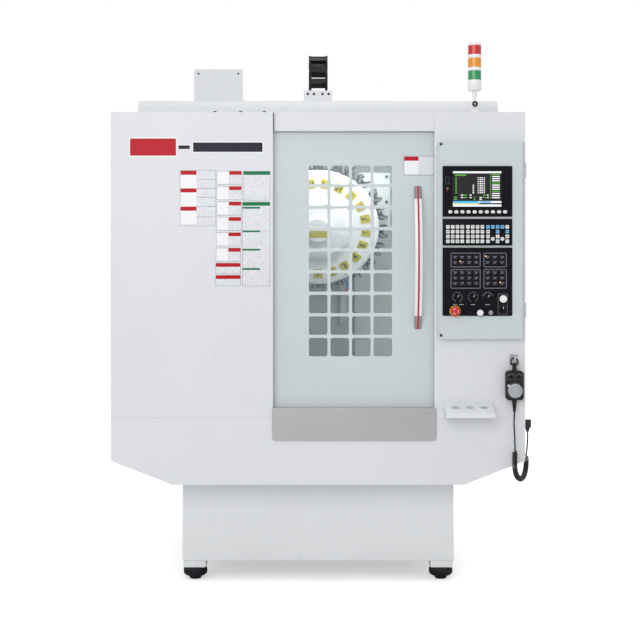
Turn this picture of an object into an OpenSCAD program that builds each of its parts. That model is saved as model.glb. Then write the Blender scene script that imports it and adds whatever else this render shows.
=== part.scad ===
// Compact vertical drilling and tapping centre with a sheet-steel cabin, a sliding door,
// a 21-place tool turret, a hinged control console and a rear electrical cabinet.
// Millimetres. +X is to the operator's right, +Y runs from the operator to the back, +Z is up.
// The origin lies on the floor, under the centre of the machine.

/* [Enclosure] */
// Width over the side panels
enclosure_w = 1740; // [1700:10:1800]
// Height of the top edge of the front covers above the floor
enclosure_top = 2005; // [1990:5:2040]
// Depth from the front covers to the rear cover
enclosure_d = 1540; // [1530:5:1600]
// Thickness of the folded sheet steel
sheet = 3; // [2.5:0.5:4]
// Depth of the folded edge of the front covers
fold = 25; // [20:1:30]
// Height of the joint between the upper and the lower front covers
waist_z = 722; // [715:1:725]
// Height where the lower covers begin to taper in
shoulder_z = 540; // [520:5:560]
// Height of the lower edge of the covers
skirt_z = 440; // [430:5:450]
// Width of the covers at their lower edge
skirt_w = 1230; // [1210:10:1300]

/* [Door] */
// Left edge of the door opening, from the centre
opening_left = -189; // [-200:1:-180]
// Distance of the door opening's right edge from the right side
opening_inset = 381; // [375:1:390]
// Lower edge of the door opening
opening_bottom = 764; // [760:1:770]
// Upper edge of the door opening
opening_top = 1951; // [1930:1:1955]
// How far the door laps behind the covers round the opening
door_lap = 15; // [12:1:18]
// Distance of the door's face behind the front covers
door_recess = 35; // [32:1:38]
// Thickness of the door pan
door_t = 30; // [25:1:32]
// Sliding travel of the door
door_travel = 570; // [500:5:575]
// Side of one square window
window_side = 77.5; // [60:0.5:80]
// Distance from one window to the next
window_pitch = 91; // [88:0.5:94]
// Corner radius of a window
window_r = 9; // [4:1:14]
// Windows across
window_cols = 4; // [3:1:4]
// Windows down
window_rows = 9; // [6:1:9]
// Height of the bow handle
handle_h = 606; // [400:2:700]
// Width of the bow handle
handle_w = 31; // [24:1:36]
// How far the bow handle stands off the door
handle_bow = 75; // [60:1:90]
// Thickness of the bow handle
handle_t = 18; // [14:1:22]

/* [Console] */
// Width of the console panel
console_w = 364; // [360:1:366]
// Height of the console panel
console_h = 826; // [810:1:840]
// Height of the console panel's lower edge
console_z = 1054; // [1040:1:1060]
// How far the console panel stands proud
console_proud = 35; // [30:1:40]
// Width of the bevel on the console's upright edges
console_bevel = 12; // [6:1:14]
// Width of the three black units
unit_w = 290; // [280:1:292]
// Thickness of the units' faceplates
unit_t = 6; // [4:0.5:8]
// Depth of the unit housings behind the panel
unit_depth = 55; // [40:1:60]
// Height of the display unit
display_h = 211; // [205:1:212]
// Height of the keyboard unit
keyboard_h = 111; // [108:1:112]
// Height of the operator panel
operator_h = 283; // [280:1:284]
// Gap between one unit and the next
unit_gap = 9; // [6:1:14]

/* [Base and column] */
// Height of the levelling feet
feet_h = 55; // [45:1:70]
// Diameter of the foot pads
foot_d = 104; // [80:2:120]
// Thickness of the mounting block on each foot
foot_block_h = 30; // [20:1:40]
// Width of the base casting
base_w = 1174; // [1150:2:1180]
// Distance of the base's front behind the front covers
base_setback = 170; // [150:5:200]
// Height of the base's upper pedestal
pedestal_z = 560; // [555:1:570]
// Width of the column
column_w = 500; // [480:10:520]
// Height of the column's top
column_top = 1880; // [1860:5:1900]

/* [Axes] */
// Distance of the spindle's axis behind the front covers
spindle_setback = 730; // [720:5:735]
// Table travel to each side
x_travel = 300; // [200:10:300]
// Saddle travel to the front and to the back
y_travel = 200; // [150:5:200]
// Downward travel of the spindle head
z_travel = 300; // [200:10:300]
// Length of the table
table_w = 700; // [600:10:760]
// Depth of the table
table_d = 380; // [340:5:385]
// Height of the table's top face
table_z = 800; // [790:1:805]
// Height of the spindle nose with the head raised
nose_z = 1240; // [1230:1:1250]
// Width of a guide rail
rail_w = 30; // [25:1:35]
// Height of a guide rail
rail_h = 26; // [22:1:30]

/* [Turret] */
// Tool places round the turret
places = 21; // [16:1:21]
// Radius of the turret cover
turret_r = 275; // [265:1:280]
// Lean of the turret's axis below level
turret_tilt = 23; // [20:1:25]
// Distance of the turret cover's centre behind the front covers
turret_setback = 420; // [405:5:425]
// Height of the turret cover's centre
turret_z = 1530; // [1520:5:1550]
// Radius of the ring of number plates
plate_ring_r = 217; // [210:1:225]
// Width of a number plate
plate_w = 40; // [30:1:44]
// Height of a number plate
plate_h = 44; // [36:1:48]
// Reach of the grippers from the turret's axis
gripper_r = 318; // [310:1:320]
// Radius of the groove on a tool holder's flange
holder_r = 21; // [16:1:22]

/* [Roof] */
// Distance of the roof hood's ends from the sides
hood_inset = 80; // [70:5:120]
// Height of the roof hood above the covers
hood_h = 88; // [80:1:100]
// Distance of the hood's front edge behind the front covers
hood_setback = 250; // [240:5:260]
// Radius of the hood's front edge
hood_r = 60; // [30:1:70]
// Width of the roof box
roof_box_w = 225; // [180:5:260]
// Depth of the roof box
roof_box_d = 281; // [240:1:300]
// Height of the roof box
roof_box_h = 189; // [150:1:200]
// Outside width of the cable chain
chain_w = 88; // [80:1:92]
// Length of one link of the cable chain
chain_pitch = 50; // [45:1:55]
// Bend radius of the cable chain at the middle of its links
chain_bend = 75; // [70:1:80]
// Depth of a chain link
chain_d = 40; // [34:1:44]

/* [Signal lamp] */
// Distance of the lamp from the right side
lamp_inset = 202; // [170:1:230]
// Distance of the lamp behind the front covers
lamp_setback = 90; // [80:1:110]
// Diameter of the lamp's lenses
lamp_d = 55; // [45:1:60]
// Height of one lens
lens_h = 41; // [36:1:42]
// Distance from one lens to the next
lens_pitch = 54; // [48:1:60]

/* [Electrical cabinet] */
// Width of the cabinet
cabinet_w = 1000; // [900:10:1100]
// Depth of the cabinet
cabinet_d = 455; // [400:5:500]
// Height of the cabinet's lower edge
cabinet_z = 620; // [600:10:700]
// Height of the cabinet
cabinet_h = 1280; // [1200:10:1300]

/* [Hand unit] */
// Distance of the hand unit's middle from the right side
pendant_inset = 49; // [46:1:52]
// Width of the hand unit
pendant_w = 74; // [68:1:76]
// Height of the hand unit's body
pendant_h = 122; // [116:1:124]
// Thickness of the hand unit's body
pendant_t = 34; // [30:1:38]
// Diameter of the handwheel
handwheel_d = 58; // [50:1:60]

/* [Fits] */
// Running clearance round a shaft, on the radius
shaft_fit = 0.1; // [0.05:0.01:0.1]
// Clearance between parts that slide past each other
slide_fit = 0.5; // [0.4:0.1:0.8]
// Clearance round a unit in its cut-out
seat_fit = 1; // [0.5:0.1:1.5]

/* [Hidden] */
$fn = 48;

// Depths, front to back
tray_out = 100;
cabinet_door_t = 25;
switch_out = 40;
total_d = tray_out + enclosure_d + cabinet_d + cabinet_door_t + switch_out;
front_y = tray_out - total_d / 2;
rear_y = front_y + enclosure_d;
fold_y = front_y + fold;
door_y = front_y + door_recess;
door_back = door_y + door_t;
liner_y = door_back + 10;
spindle_y = front_y + spindle_setback;
liner_back = spindle_y + table_d / 2 + y_travel + 10;
column_front = liner_back + 30;
column_back = rear_y - sheet;
base_front = front_y + base_setback;
pedestal_reach = 450;
pedestal_front = spindle_y - pedestal_reach;

// Covers
half_w = enclosure_w / 2;
opening_right = half_w - opening_inset;
taper = atan2(shoulder_z - skirt_z, (enclosure_w - skirt_w) / 2);
base_z = feet_h + foot_block_h;
base_top = skirt_z + sheet;
liner_half = half_w - hood_inset;
liner_right = opening_right + 11;
liner_floor = shoulder_z;
bay_setback = 160;

// Door
door_left = opening_left - door_lap - 1;
door_right = opening_right + door_lap;
door_bottom = opening_bottom - door_lap;
door_top = opening_top + door_lap;
window_x = 0.75;
window_top = 1783;
pane_margin = 20;
pane_t = 6;
handle_x = opening_right - 67.5;
handle_z = 1395;

// Console
console_x = opening_right + 10;
console_right = console_x + console_w;
console_front = front_y - console_proud;
console_back = front_y - slide_fit;
unit_x = console_x + 20.5;
display_z = console_z + 510;
keyboard_z = display_z - unit_gap - keyboard_h;
operator_z = keyboard_z - unit_gap - operator_h;
unit_front = console_front - unit_t;
bay_x = console_x + 10;
bay_right = console_right - 10;
bay_z = console_z + 10;
bay_top = console_z + console_h - 10;
bay_depth = 97;

// Axes
rail_x = 190;
z_rail_x = 125;
carriage_l = 90;
carriage_y = 130;
carriage_x = 95;
saddle_bottom = pedestal_z + rail_h + 14;
saddle_top = saddle_bottom + 90;
saddle_half = x_travel + 150;
saddle_d = table_d - 20;
table_bottom = saddle_top + rail_h + 6;
head_plate_y = column_front - rail_h - 8;
head_bottom = nose_z + 50;
head_top = head_bottom + 270;

// Turret
turret_y = front_y + turret_setback;
carrier_x = 202;
drum_r = 180;
axle_r = 25;

// Roof
hood_w = enclosure_w - 2 * hood_inset;
lamp_x = half_w - lamp_inset;
pendant_x = half_w - pendant_inset;
hood_top = enclosure_top + hood_h;
hood_front = front_y + hood_setback;
chain_y = front_y + 600;
chain_base = hood_top + 85;
chain_rise = 60;
chain_start = chain_base + chain_d / 2 + 0.3;
chain_end = chain_y + 2 * chain_bend;

// A box between two corners, given as its span along each axis
module block(x, y, z)
    translate([x[0], y[0], z[0]]) cube([x[1] - x[0], y[1] - y[0], z[1] - z[0]]);

// Sets a drawing of width and height upright, from y back to y + t
module upright(y, t)
    translate([0, y + t, 0]) rotate([90, 0, 0]) linear_extrude(t) children();

// Sets a drawing of depth and height on edge, from x to x + t
module sideways(x, t)
    translate([x, 0, 0]) rotate([90, 0, 90]) linear_extrude(t) children();

// Corner points of a rectangle with round corners, centred on the origin
function round_corners(w, h, r, steps = 3) = [
    for (c = [[1, 1, 0], [-1, 1, 90], [-1, -1, 180], [1, -1, 270]])
        for (i = [0:steps])
            [c[0] * (w / 2 - r) + r * cos(c[2] + 90 * i / steps),
             c[1] * (h / 2 - r) + r * sin(c[2] + 90 * i / steps)]
];

// A shallow folded pan, open at the back, with walls as thick as the sheet
module pan(x, y, z)
    difference() {
        block(x, y, z);
        block([x[0] + sheet, x[1] - sheet], [y[0] + sheet, y[1] + 1], [z[0] + sheet, z[1] - sheet]);
    }

// Outline of the covers' tapered foot, drawn in by an inset, up to a height
function tapered_foot(inset, top) =
    let (side = half_w - inset,
         knee = shoulder_z + inset * tan((90 - taper) / 2),
         toe = skirt_w / 2 - inset * tan(taper / 2),
         foot = skirt_z + inset)
    [[-side, top], [-side, knee], [-toe, foot], [toe, foot], [side, knee], [side, top]];

// Outline of a carriage block straddling a rail that points up, centred on the rail
module carriage_section(h)
    difference() {
        translate([-rail_w, 2]) square([2 * rail_w, h - 2]);
        translate([-rail_w / 2 - slide_fit, -1]) square([rail_w + 2 * slide_fit, rail_h + slide_fit + 1]);
    }

// Cross-section of a profiled guide rail, standing on the origin
module rail_section()
    polygon([
        [-rail_w / 2, 0], [rail_w / 2, 0], [rail_w / 2, rail_h * 0.25], [rail_w * 0.36, rail_h * 0.4],
        [rail_w * 0.36, rail_h * 0.6], [rail_w / 2, rail_h * 0.75], [rail_w / 2, rail_h],
        [-rail_w / 2, rail_h], [-rail_w / 2, rail_h * 0.75], [-rail_w * 0.36, rail_h * 0.6],
        [-rail_w * 0.36, rail_h * 0.4], [-rail_w / 2, rail_h * 0.25]
    ]);

knuckle_r = 5;
knuckle_l = 20;
pin_r = 2;

// Middle knuckle of a hinge with its pin, about the axis. The leaf's outline is the child
module pinned_knuckle() {
    linear_extrude(knuckle_l, center = true) {
        circle(r = knuckle_r);
        children();
    }
    cylinder(r = pin_r, h = 3 * knuckle_l, center = true);
}

// Outer knuckles of a hinge, which turn on its pin
module turning_knuckles()
    difference() {
        for (z = [-1.5 * knuckle_l, knuckle_l / 2 + slide_fit])
            translate([0, 0, z]) linear_extrude(knuckle_l - slide_fit) {
                circle(r = knuckle_r);
                children();
            }
        cylinder(r = pin_r + shaft_fit, h = 4 * knuckle_l, center = true);
    }

// ---------------------------------------------------------------- base and column

base_wall = 40;
rib_t = 30;
rib_cells_x = 3;
rib_cells_y = 4;
pedestal_half = 300;

module base_casting()
    color("gainsboro")
    difference() {
        union() {
            block([-base_w / 2, base_w / 2], [base_front, column_back], [base_z, base_top]);
            block([-pedestal_half, pedestal_half], [pedestal_front, column_back], [base_top, pedestal_z]);
        }
        cell_w = (base_w - 2 * base_wall + rib_t) / rib_cells_x;
        cell_d = (column_back - base_front - 2 * base_wall + rib_t) / rib_cells_y;
        for (i = [0:rib_cells_x - 1], j = [0:rib_cells_y - 1])
            translate([-base_w / 2 + base_wall + i * cell_w, base_front + base_wall + j * cell_d, base_z - 1])
                cube([cell_w - rib_t, cell_d - rib_t, base_top - base_z - base_wall + 1]);
    }

foot_inset = 52;
foot_block_w = 96;

// Turned profile of a levelling pad with its screw
module foot_profile()
    polygon([
        [0, 0], [foot_d * 0.4, 0], [foot_d / 2, feet_h * 0.35], [foot_d / 2, feet_h * 0.6],
        [foot_d * 0.4, feet_h], [0, feet_h]
    ]);

module leveling_feet()
    for (x = [-1, 1] * (base_w / 2 - foot_inset), y = [base_front + foot_inset, column_back - foot_inset])
        translate([x, y, 0]) {
            color("#1c1c20") rotate_extrude() foot_profile();
            color("lightgray") translate([-foot_block_w / 2, -foot_block_w / 2, feet_h])
                cube([foot_block_w, foot_block_w, foot_block_h]);
        }

core_wall = 45;
core_hole_r = 80;

module column()
    color("gray")
    difference() {
        block([-column_w / 2, column_w / 2], [column_front, column_back], [pedestal_z, column_top]);
        block([-column_w / 2 + core_wall, column_w / 2 - core_wall],
              [column_front + core_wall, column_back - core_wall],
              [pedestal_z - 1, column_top - core_wall]);
        for (z = [pedestal_z + 260, pedestal_z + 560, pedestal_z + 860])
            translate([-column_w, (column_front + column_back) / 2, z])
                rotate([0, 90, 0]) cylinder(r = core_hole_r, h = 2 * column_w);
    }

z_rail_low = head_bottom + 90 - z_travel;
z_rail_high = head_bottom + 560;

module guide_rails()
    color("silver") {
        for (x = [-z_rail_x, z_rail_x])
            translate([x, column_front, z_rail_low])
                linear_extrude(z_rail_high - z_rail_low) rotate(180) rail_section();
        for (x = [-rail_x, rail_x])
            translate([x, 0, pedestal_z])
                upright(spindle_y - carriage_y - carriage_l / 2 - y_travel - 5,
                        2 * (carriage_y + carriage_l / 2 + y_travel + 5))
                    rail_section();
    }

motor_side = 130;
motor_flange_t = 14;
encoder_l = 30;
motor_l = 150;

// A square servo motor with a round flange, standing on its flange
module servo_motor() {
    cylinder(d = motor_side + 20, h = motor_flange_t);
    translate([-motor_side / 2, -motor_side / 2, motor_flange_t])
        cube([motor_side, motor_side, motor_l - motor_flange_t - encoder_l]);
    translate([0, 0, motor_l - encoder_l]) cylinder(d = motor_side * 0.8, h = encoder_l);
}

module axis_motors()
    color("#2b2d30") {
        translate([0, (column_front + column_back) / 2 - 60, column_top]) servo_motor();
        translate([0, pedestal_front, liner_floor + sheet + motor_side / 2 + 14])
            rotate([90, 0, 0]) servo_motor();
    }

// ---------------------------------------------------------------- cabin sheet work

module left_front_cover()
    color("#dee1e4")
    pan([-half_w, opening_left], [front_y, fold_y], [waist_z, enclosure_top]);

console_hinge_x = console_right + knuckle_r + slide_fit;
console_hinge_y = front_y - knuckle_r - 1.5;
console_hinges = [console_z + 120, console_z + console_h - 120];

module right_front_cover()
    color("#dee1e4") {
        difference() {
            union() {
                pan([opening_right, half_w], [front_y, fold_y], [waist_z, enclosure_top]);
                block([bay_x - sheet, bay_right + sheet], [front_y, front_y + bay_depth],
                      [bay_z - sheet, bay_top + sheet]);
            }
            block([bay_x, bay_right], [front_y - 1, front_y + bay_depth - sheet], [bay_z, bay_top]);
        }
        for (z = console_hinges)
            translate([console_hinge_x, console_hinge_y, z])
                pinned_knuckle() translate([-1.5, 0]) square([3, front_y - console_hinge_y + 1]);
    }

module lower_front_cover()
    color("#dee1e4") {
        upright(front_y, sheet) polygon(tapered_foot(0, waist_z));
        upright(front_y, fold) difference() {
            polygon(tapered_foot(0, waist_z));
            polygon(tapered_foot(sheet, waist_z - sheet));
        }
        block([-half_w + sheet, half_w - sheet], [fold_y - 1, liner_y], [waist_z - sheet, waist_z]);
        block([-base_w / 2, base_w / 2], [fold_y - 1, base_front], [skirt_z, skirt_z + sheet]);
    }

header_recess = 12;

module header_cover()
    color("#dee1e4")
    pan([opening_left, opening_right], [front_y + header_recess, fold_y], [opening_top, enclosure_top]);

apron_t = 4;
apron_left = opening_left - 4;
apron_right = opening_right + 9;
apron_z = 624;
apron_top = opening_bottom - 2;
apron_r = 17;

// Outline of the apron, with its lower corners rounded
function apron_outline() = concat(
    [for (a = [180:15:270]) [apron_left + apron_r + apron_r * cos(a), apron_z + apron_r + apron_r * sin(a)]],
    [for (a = [270:15:360]) [apron_right - apron_r + apron_r * cos(a), apron_z + apron_r + apron_r * sin(a)]],
    [[apron_right, apron_top], [apron_left, apron_top]]
);

module sill_apron()
    color("#b8babb") {
        upright(front_y - apron_t, apron_t) polygon(apron_outline());
        block([opening_left + 1, opening_right - 1], [front_y - apron_t, door_y - 5],
              [apron_top - sheet, apron_top]);
    }

// Section across both side panels, folded in along the taper to meet the base
module side_section()
    difference() {
        polygon(tapered_foot(0, enclosure_top));
        polygon(tapered_foot(sheet, enclosure_top + 1));
        translate([-base_w / 2, skirt_z - 1]) square([base_w, sheet + 2]);
    }

module side_panel(side)
    color("#e2e4e6")
    upright(fold_y, rear_y - fold_y)
        intersection() {
            side_section();
            translate([side > 0 ? 0 : -enclosure_w, 0]) square([enclosure_w, 2 * enclosure_top]);
        }

module left_side_panel() side_panel(-1);

module right_side_panel() side_panel(1);

module rear_cover()
    color("#dee1e4")
    upright(rear_y - sheet, sheet) polygon(tapered_foot(sheet, enclosure_top - sheet));

module roof_deck()
    color("#dee1e4")
    difference() {
        block([-half_w + sheet, half_w - sheet], [fold_y, rear_y], [enclosure_top - sheet, enclosure_top]);
        block([-hood_w / 2 + 20, hood_w / 2 - 20], [hood_front + 30, rear_y - 40],
              [enclosure_top - sheet - 1, enclosure_top + 1]);
    }

hood_back = rear_y - 20;

// Side view of the hood, drawn in by an inset: flat top, round front edge
function hood_outline(i) = concat(
    [[hood_back - i, enclosure_top], [hood_back - i, hood_top - i]],
    [for (a = [90:7.5:180])
        [hood_front + hood_r + (hood_r - i) * cos(a), hood_top - hood_r + (hood_r - i) * sin(a)]],
    [[hood_front + i, enclosure_top]]
);
chain_hole = 62;

module roof_hood()
    color("#dfe2e4")
    difference() {
        sideways(-hood_w / 2, hood_w) polygon(hood_outline(0));
        sideways(-hood_w / 2 + sheet, hood_w - 2 * sheet) {
            polygon(hood_outline(sheet));
            translate([hood_front + sheet, enclosure_top - 1])
                square([hood_back - hood_front - 2 * sheet, 2]);
        }
        block([-chain_hole, chain_hole], [chain_end - chain_d, chain_end + chain_d],
              [hood_top - 9, hood_top + 1]);
    }

roof_box_inset = 293;
roof_box_x = roof_box_inset - half_w;

module roof_box()
    color("#e0e2e5")
    difference() {
        block([roof_box_x, roof_box_x + roof_box_w], [chain_y, chain_y + roof_box_d],
              [hood_top, hood_top + roof_box_h]);
        block([roof_box_x + sheet, roof_box_x + roof_box_w - sheet],
              [chain_y + sheet, chain_y + roof_box_d - sheet],
              [hood_top - 1, hood_top + roof_box_h - sheet]);
    }

liner_top = enclosure_top - sheet;
slot_half = 185;
slot_low = 880;

// Plan of the cabin's inner walls, drawn in by an inset; the right front steps back round the console
function liner_plan(i) = [
    [-liner_half + i, liner_y + i], [liner_right - i, liner_y + i],
    [liner_right - i, front_y + bay_setback + i], [liner_half - i, front_y + bay_setback + i],
    [liner_half - i, liner_back + sheet - i], [-liner_half + i, liner_back + sheet - i]
];

module splash_liner()
    color("#829191")
    difference() {
        union() {
            translate([0, 0, liner_floor]) linear_extrude(sheet) polygon(liner_plan(0));
            translate([0, 0, liner_floor]) linear_extrude(liner_top - liner_floor) difference() {
                polygon(liner_plan(0));
                polygon(liner_plan(sheet));
            }
        }
        block([opening_left - 11, liner_right + 1], [liner_y - 1, liner_y + sheet + 1],
              [opening_bottom, opening_top]);
        block([-slot_half, slot_half], [liner_back - 1, liner_back + sheet + 1], [slot_low, liner_top - 60]);
        block([-carrier_x - 24, carrier_x + 24], [liner_back - 1, liner_back + sheet + 1],
              [turret_z - 10, turret_z + 90]);
        block([-pedestal_half, pedestal_half], [pedestal_front, liner_back + sheet + 1],
              [liner_floor - 1, pedestal_z]);
    }

track_left = max(-half_w + 10, door_left - door_travel - 85);
track_right = liner_right + 22;
track_low = waist_z;
track_high = enclosure_top - sheet;
lip_t = 3;
lip_gap = 2;

// One channel of the door track: a web with two lips either side of the door
module track_channel(web_z, lip_z)
    union() {
        block([track_left, track_right], [door_y - lip_gap - lip_t, door_back + lip_gap + lip_t], web_z);
        block([track_left, track_right], [door_y - lip_gap - lip_t, door_y - lip_gap], lip_z);
        block([track_left, track_right], [door_back + lip_gap, door_back + lip_gap + lip_t], lip_z);
    }

module door_track()
    color("lightgray") {
        track_channel([track_low, track_low + 5], [track_low, door_bottom + 9]);
        track_channel([track_high - 5, track_high], [door_top + 6, track_high]);
    }

// ---------------------------------------------------------------- sliding door

hanger_w = 60;
hanger_inset = 70;

module door_panel()
    color("#c8d2d5") {
        difference() {
            pan([door_left, door_right], [door_y, door_back], [door_bottom, door_top]);
            upright(door_y - 1, sheet + 2)
                for (i = [0:window_cols - 1], j = [0:window_rows - 1])
                    translate([window_x + i * window_pitch, window_top - window_side / 2 - j * window_pitch])
                        polygon(round_corners(window_side, window_side, window_r));
        }
        for (x = [door_left + hanger_inset, door_right - hanger_inset - hanger_w])
            block([x, x + hanger_w], [door_y - lip_gap + slide_fit, door_back + lip_gap - slide_fit],
                  [door_top, track_high - 5 - slide_fit]);
    }

module window_pane()
    color("lightcyan", 0.4)
    block([window_x - window_side / 2 - pane_margin,
           window_x + (window_cols - 1) * window_pitch + window_side / 2 + pane_margin],
          [door_y + sheet, door_y + sheet + pane_t],
          [window_top - window_side - (window_rows - 1) * window_pitch - pane_margin,
           window_top + pane_margin]);

bow_r = ((handle_h / 2) ^ 2 + handle_bow ^ 2) / (2 * handle_bow);

module door_handle()
    color("white")
    sideways(handle_x - handle_w / 2, handle_w)
        intersection() {
            translate([door_y - handle_bow + bow_r, handle_z])
                difference() {
                    circle(r = bow_r, $fn = 240);
                    circle(r = bow_r - handle_t, $fn = 240);
                }
            translate([door_y - 2 * handle_bow, handle_z - handle_h]) square([2 * handle_bow, 2 * handle_h]);
        }

// ---------------------------------------------------------------- saddle, table and head

module saddle()
    color("dimgray") {
        difference() {
            block([-saddle_half, saddle_half], [spindle_y - saddle_d / 2, spindle_y + saddle_d / 2],
                  [saddle_bottom, saddle_top]);
            block([-rail_x + 70, rail_x - 70],
                  [spindle_y - saddle_d / 2 - 1, spindle_y + saddle_d / 2 + 1],
                  [saddle_bottom - 1, saddle_bottom + 50]);
        }
        for (x = [-rail_x, rail_x], y = [-carriage_y, carriage_y])
            translate([x, 0, pedestal_z])
                upright(spindle_y + y - carriage_l / 2, carriage_l)
                    carriage_section(saddle_bottom - pedestal_z);
        for (y = [-carriage_y + 10, carriage_y - 10])
            translate([0, spindle_y + y, saddle_top])
                sideways(-saddle_half + 10, 2 * saddle_half - 20) rail_section();
    }

cross_motor_z = (saddle_bottom + saddle_top) / 2 - 3;

module cross_motor()
    color("#2b2d30")
    translate([saddle_half, spindle_y, cross_motor_z]) rotate([0, 90, 0]) servo_motor();

slot_w = 14;
slot_pitch = 100;
slot_foot_w = 24;
slot_foot_h = 11;
slot_depth = 26;

module table()
    color("darkgray") {
        difference() {
            block([-table_w / 2, table_w / 2], [spindle_y - table_d / 2, spindle_y + table_d / 2],
                  [table_bottom, table_z]);
            for (i = [-1:1])
                translate([0, spindle_y + i * slot_pitch, table_z])
                    sideways(-table_w / 2 - 1, table_w + 2) {
                        translate([-slot_w / 2, -slot_depth + 1]) square([slot_w, slot_depth]);
                        translate([-slot_foot_w / 2, -slot_depth]) square([slot_foot_w, slot_foot_h]);
                    }
        }
        for (x = [-carriage_x, carriage_x], y = [-carriage_y + 10, carriage_y - 10])
            translate([0, spindle_y + y, saddle_top])
                sideways(x - carriage_l / 2, carriage_l) carriage_section(table_bottom - saddle_top);
    }

head_half = 95;
plate_half = 165;
plate_t = 46;
cartridge_r = 70;
spindle_r = 36;
nose_flange_r = 85;

module spindle_head()
    color("#4a4e52")
    difference() {
        union() {
            block([-plate_half, plate_half], [head_plate_y - plate_t, head_plate_y],
                  [head_bottom + 90, head_bottom + 550]);
            for (x = [-z_rail_x, z_rail_x], z = [head_bottom + 135, head_bottom + 505])
                translate([x, column_front, z - carriage_l / 2])
                    linear_extrude(carriage_l) rotate(180) carriage_section(column_front - head_plate_y);
            sideways(-head_half, 2 * head_half)
                polygon([
                    [spindle_y - head_half, head_bottom], [spindle_y + 120, head_bottom],
                    [head_plate_y - plate_t, head_bottom + 130], [head_plate_y - plate_t, head_bottom + 540],
                    [spindle_y + head_half + 30, head_top], [spindle_y - head_half, head_top]
                ]);
            translate([0, spindle_y, head_bottom - 15]) cylinder(r = nose_flange_r, h = 16);
            translate([0, spindle_y, nose_z + 12]) cylinder(r = cartridge_r, h = 40);
        }
        translate([0, spindle_y, nose_z]) cylinder(r = spindle_r + shaft_fit, h = 230);
    }

spindle_l = 220;
taper_l = 48.4;
taper_r = 15.875;
taper_end_r = 8.8;

module spindle()
    color("silver")
    translate([0, spindle_y, nose_z])
        difference() {
            union() {
                cylinder(r = spindle_r, h = spindle_l);
                cylinder(r = spindle_r + 12, h = 11);
                for (a = [0, 180])
                    rotate(a) translate([22, -8, -6]) cube([16, 16, 7]);
            }
            translate([0, 0, -1]) cylinder(r1 = taper_r + 0.3, r2 = taper_end_r, h = taper_l + 1);
            translate([0, 0, taper_l - 1]) cylinder(r = 6, h = 80);
        }

spindle_motor_h = 270;

module spindle_motor()
    color("#2f3236")
    translate([0, spindle_y, head_top]) {
        translate([-90, -90, 0]) cube([180, 180, spindle_motor_h]);
        translate([0, 0, spindle_motor_h]) cylinder(r = 80, h = 50);
        translate([-50, chain_end - chain_d / 2 - spindle_y - 5, spindle_motor_h - 1])
            cube([100, chain_d + 10, chain_foot_z - 0.3 - head_top - spindle_motor_h + 1]);
    }

hose_r = 9;
hose_bend = 45;
hose_turn = 130;
hose_links = 8;
hose_start_y = spindle_y - 60;
hose_start_z = head_bottom + 25;

// One coolant hose of ball-jointed links, from the head's flank out and down towards the tool
module coolant_hose()
    for (i = [0:hose_links - 1]) {
        a = hose_turn * i / hose_links;
        translate([hose_bend * sin(a), 0, -hose_bend * (1 - cos(a))])
            rotate([0, 90 + a, 0])
                cylinder(r1 = hose_r, r2 = hose_r - 2.5, h = PI * hose_bend * hose_turn / 180 / hose_links + 2);
    }

module coolant_hoses()
    color("royalblue")
    for (side = [-1, 1])
        mirror([side < 0 ? 1 : 0, 0, 0]) translate([head_half, hose_start_y, hose_start_z]) coolant_hose();

// ---------------------------------------------------------------- tool turret

// Moves a piece drawn about the turret's axis, facing +Z, to its place in the cabin
module on_turret()
    translate([0, turret_y, turret_z]) rotate([90 + turret_tilt, 0, 0]) children();

// Height of the cover's inner face over the hub, which carries it
cover_inside = 16;

module turret_cover()
    color("white")
    on_turret() rotate_extrude($fn = 120)
        polygon([
            [0, 20], [55, 20], [62, 14], [150, 6], [156, 0], [turret_r - 13, 0], [turret_r - 3, -4],
            [turret_r, -12], [turret_r, -15], [turret_r - 4, -15], [turret_r - 6, -8], [turret_r - 14, -4],
            [154, -4], [148, 2], [60, 10], [53, cover_inside], [0, cover_inside]
        ]);

module number_plates()
    color("#b9af14")
    on_turret()
        for (i = [0:places - 1])
            rotate(-90 + i * 360 / places)
                translate([plate_ring_r, 0, 0])
                    linear_extrude(1.5) polygon(round_corners(plate_h, plate_w, 4));

ring_back = -40;
ring_front = -16;
finger_w = 34;

// Outline of one gripper: a neck that opens into two horns round the tool holder
module gripper_outline()
    difference() {
        union() {
            translate([drum_r, -finger_w / 2]) square([gripper_r - drum_r - 12, finger_w]);
            translate([gripper_r - 20, 0]) circle(r = holder_r + 10);
        }
        translate([gripper_r, 0]) circle(r = holder_r);
        translate([gripper_r, -holder_r - 20]) square([60, 2 * holder_r + 40]);
    }

module gripper_ring()
    color("#33373c")
    on_turret()
        difference() {
            union() {
                translate([0, 0, ring_back]) linear_extrude(ring_front - ring_back - 6)
                    for (i = [0:places - 1]) rotate(-90 + i * 360 / places) gripper_outline();
                translate([0, 0, ring_back]) cylinder(r = drum_r + 40, h = ring_front - ring_back, $fn = 96);
                translate([0, 0, -75]) cylinder(r = drum_r, h = 40, $fn = 96);
                translate([0, 0, ring_front - 1]) cylinder(r = 50, h = cover_inside - ring_front + 1);
            }
            translate([0, 0, -76]) cylinder(r = axle_r + shaft_fit, h = 70);
        }

arm_w = 24;

module turret_carrier()
    color("#3c4146") {
        on_turret() {
            translate([0, 0, -80 - 50]) linear_extrude(50)
                polygon(round_corners(2 * carrier_x + arm_w, 96, 20));
            translate([0, 0, -81]) cylinder(r = axle_r, h = 72);
        }
        for (side = [-1, 1])
            block([side * carrier_x - arm_w / 2, side * carrier_x + arm_w / 2],
                  [turret_y + 95, column_front], [turret_z, turret_z + 80]);
    }

// ---------------------------------------------------------------- console

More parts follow.
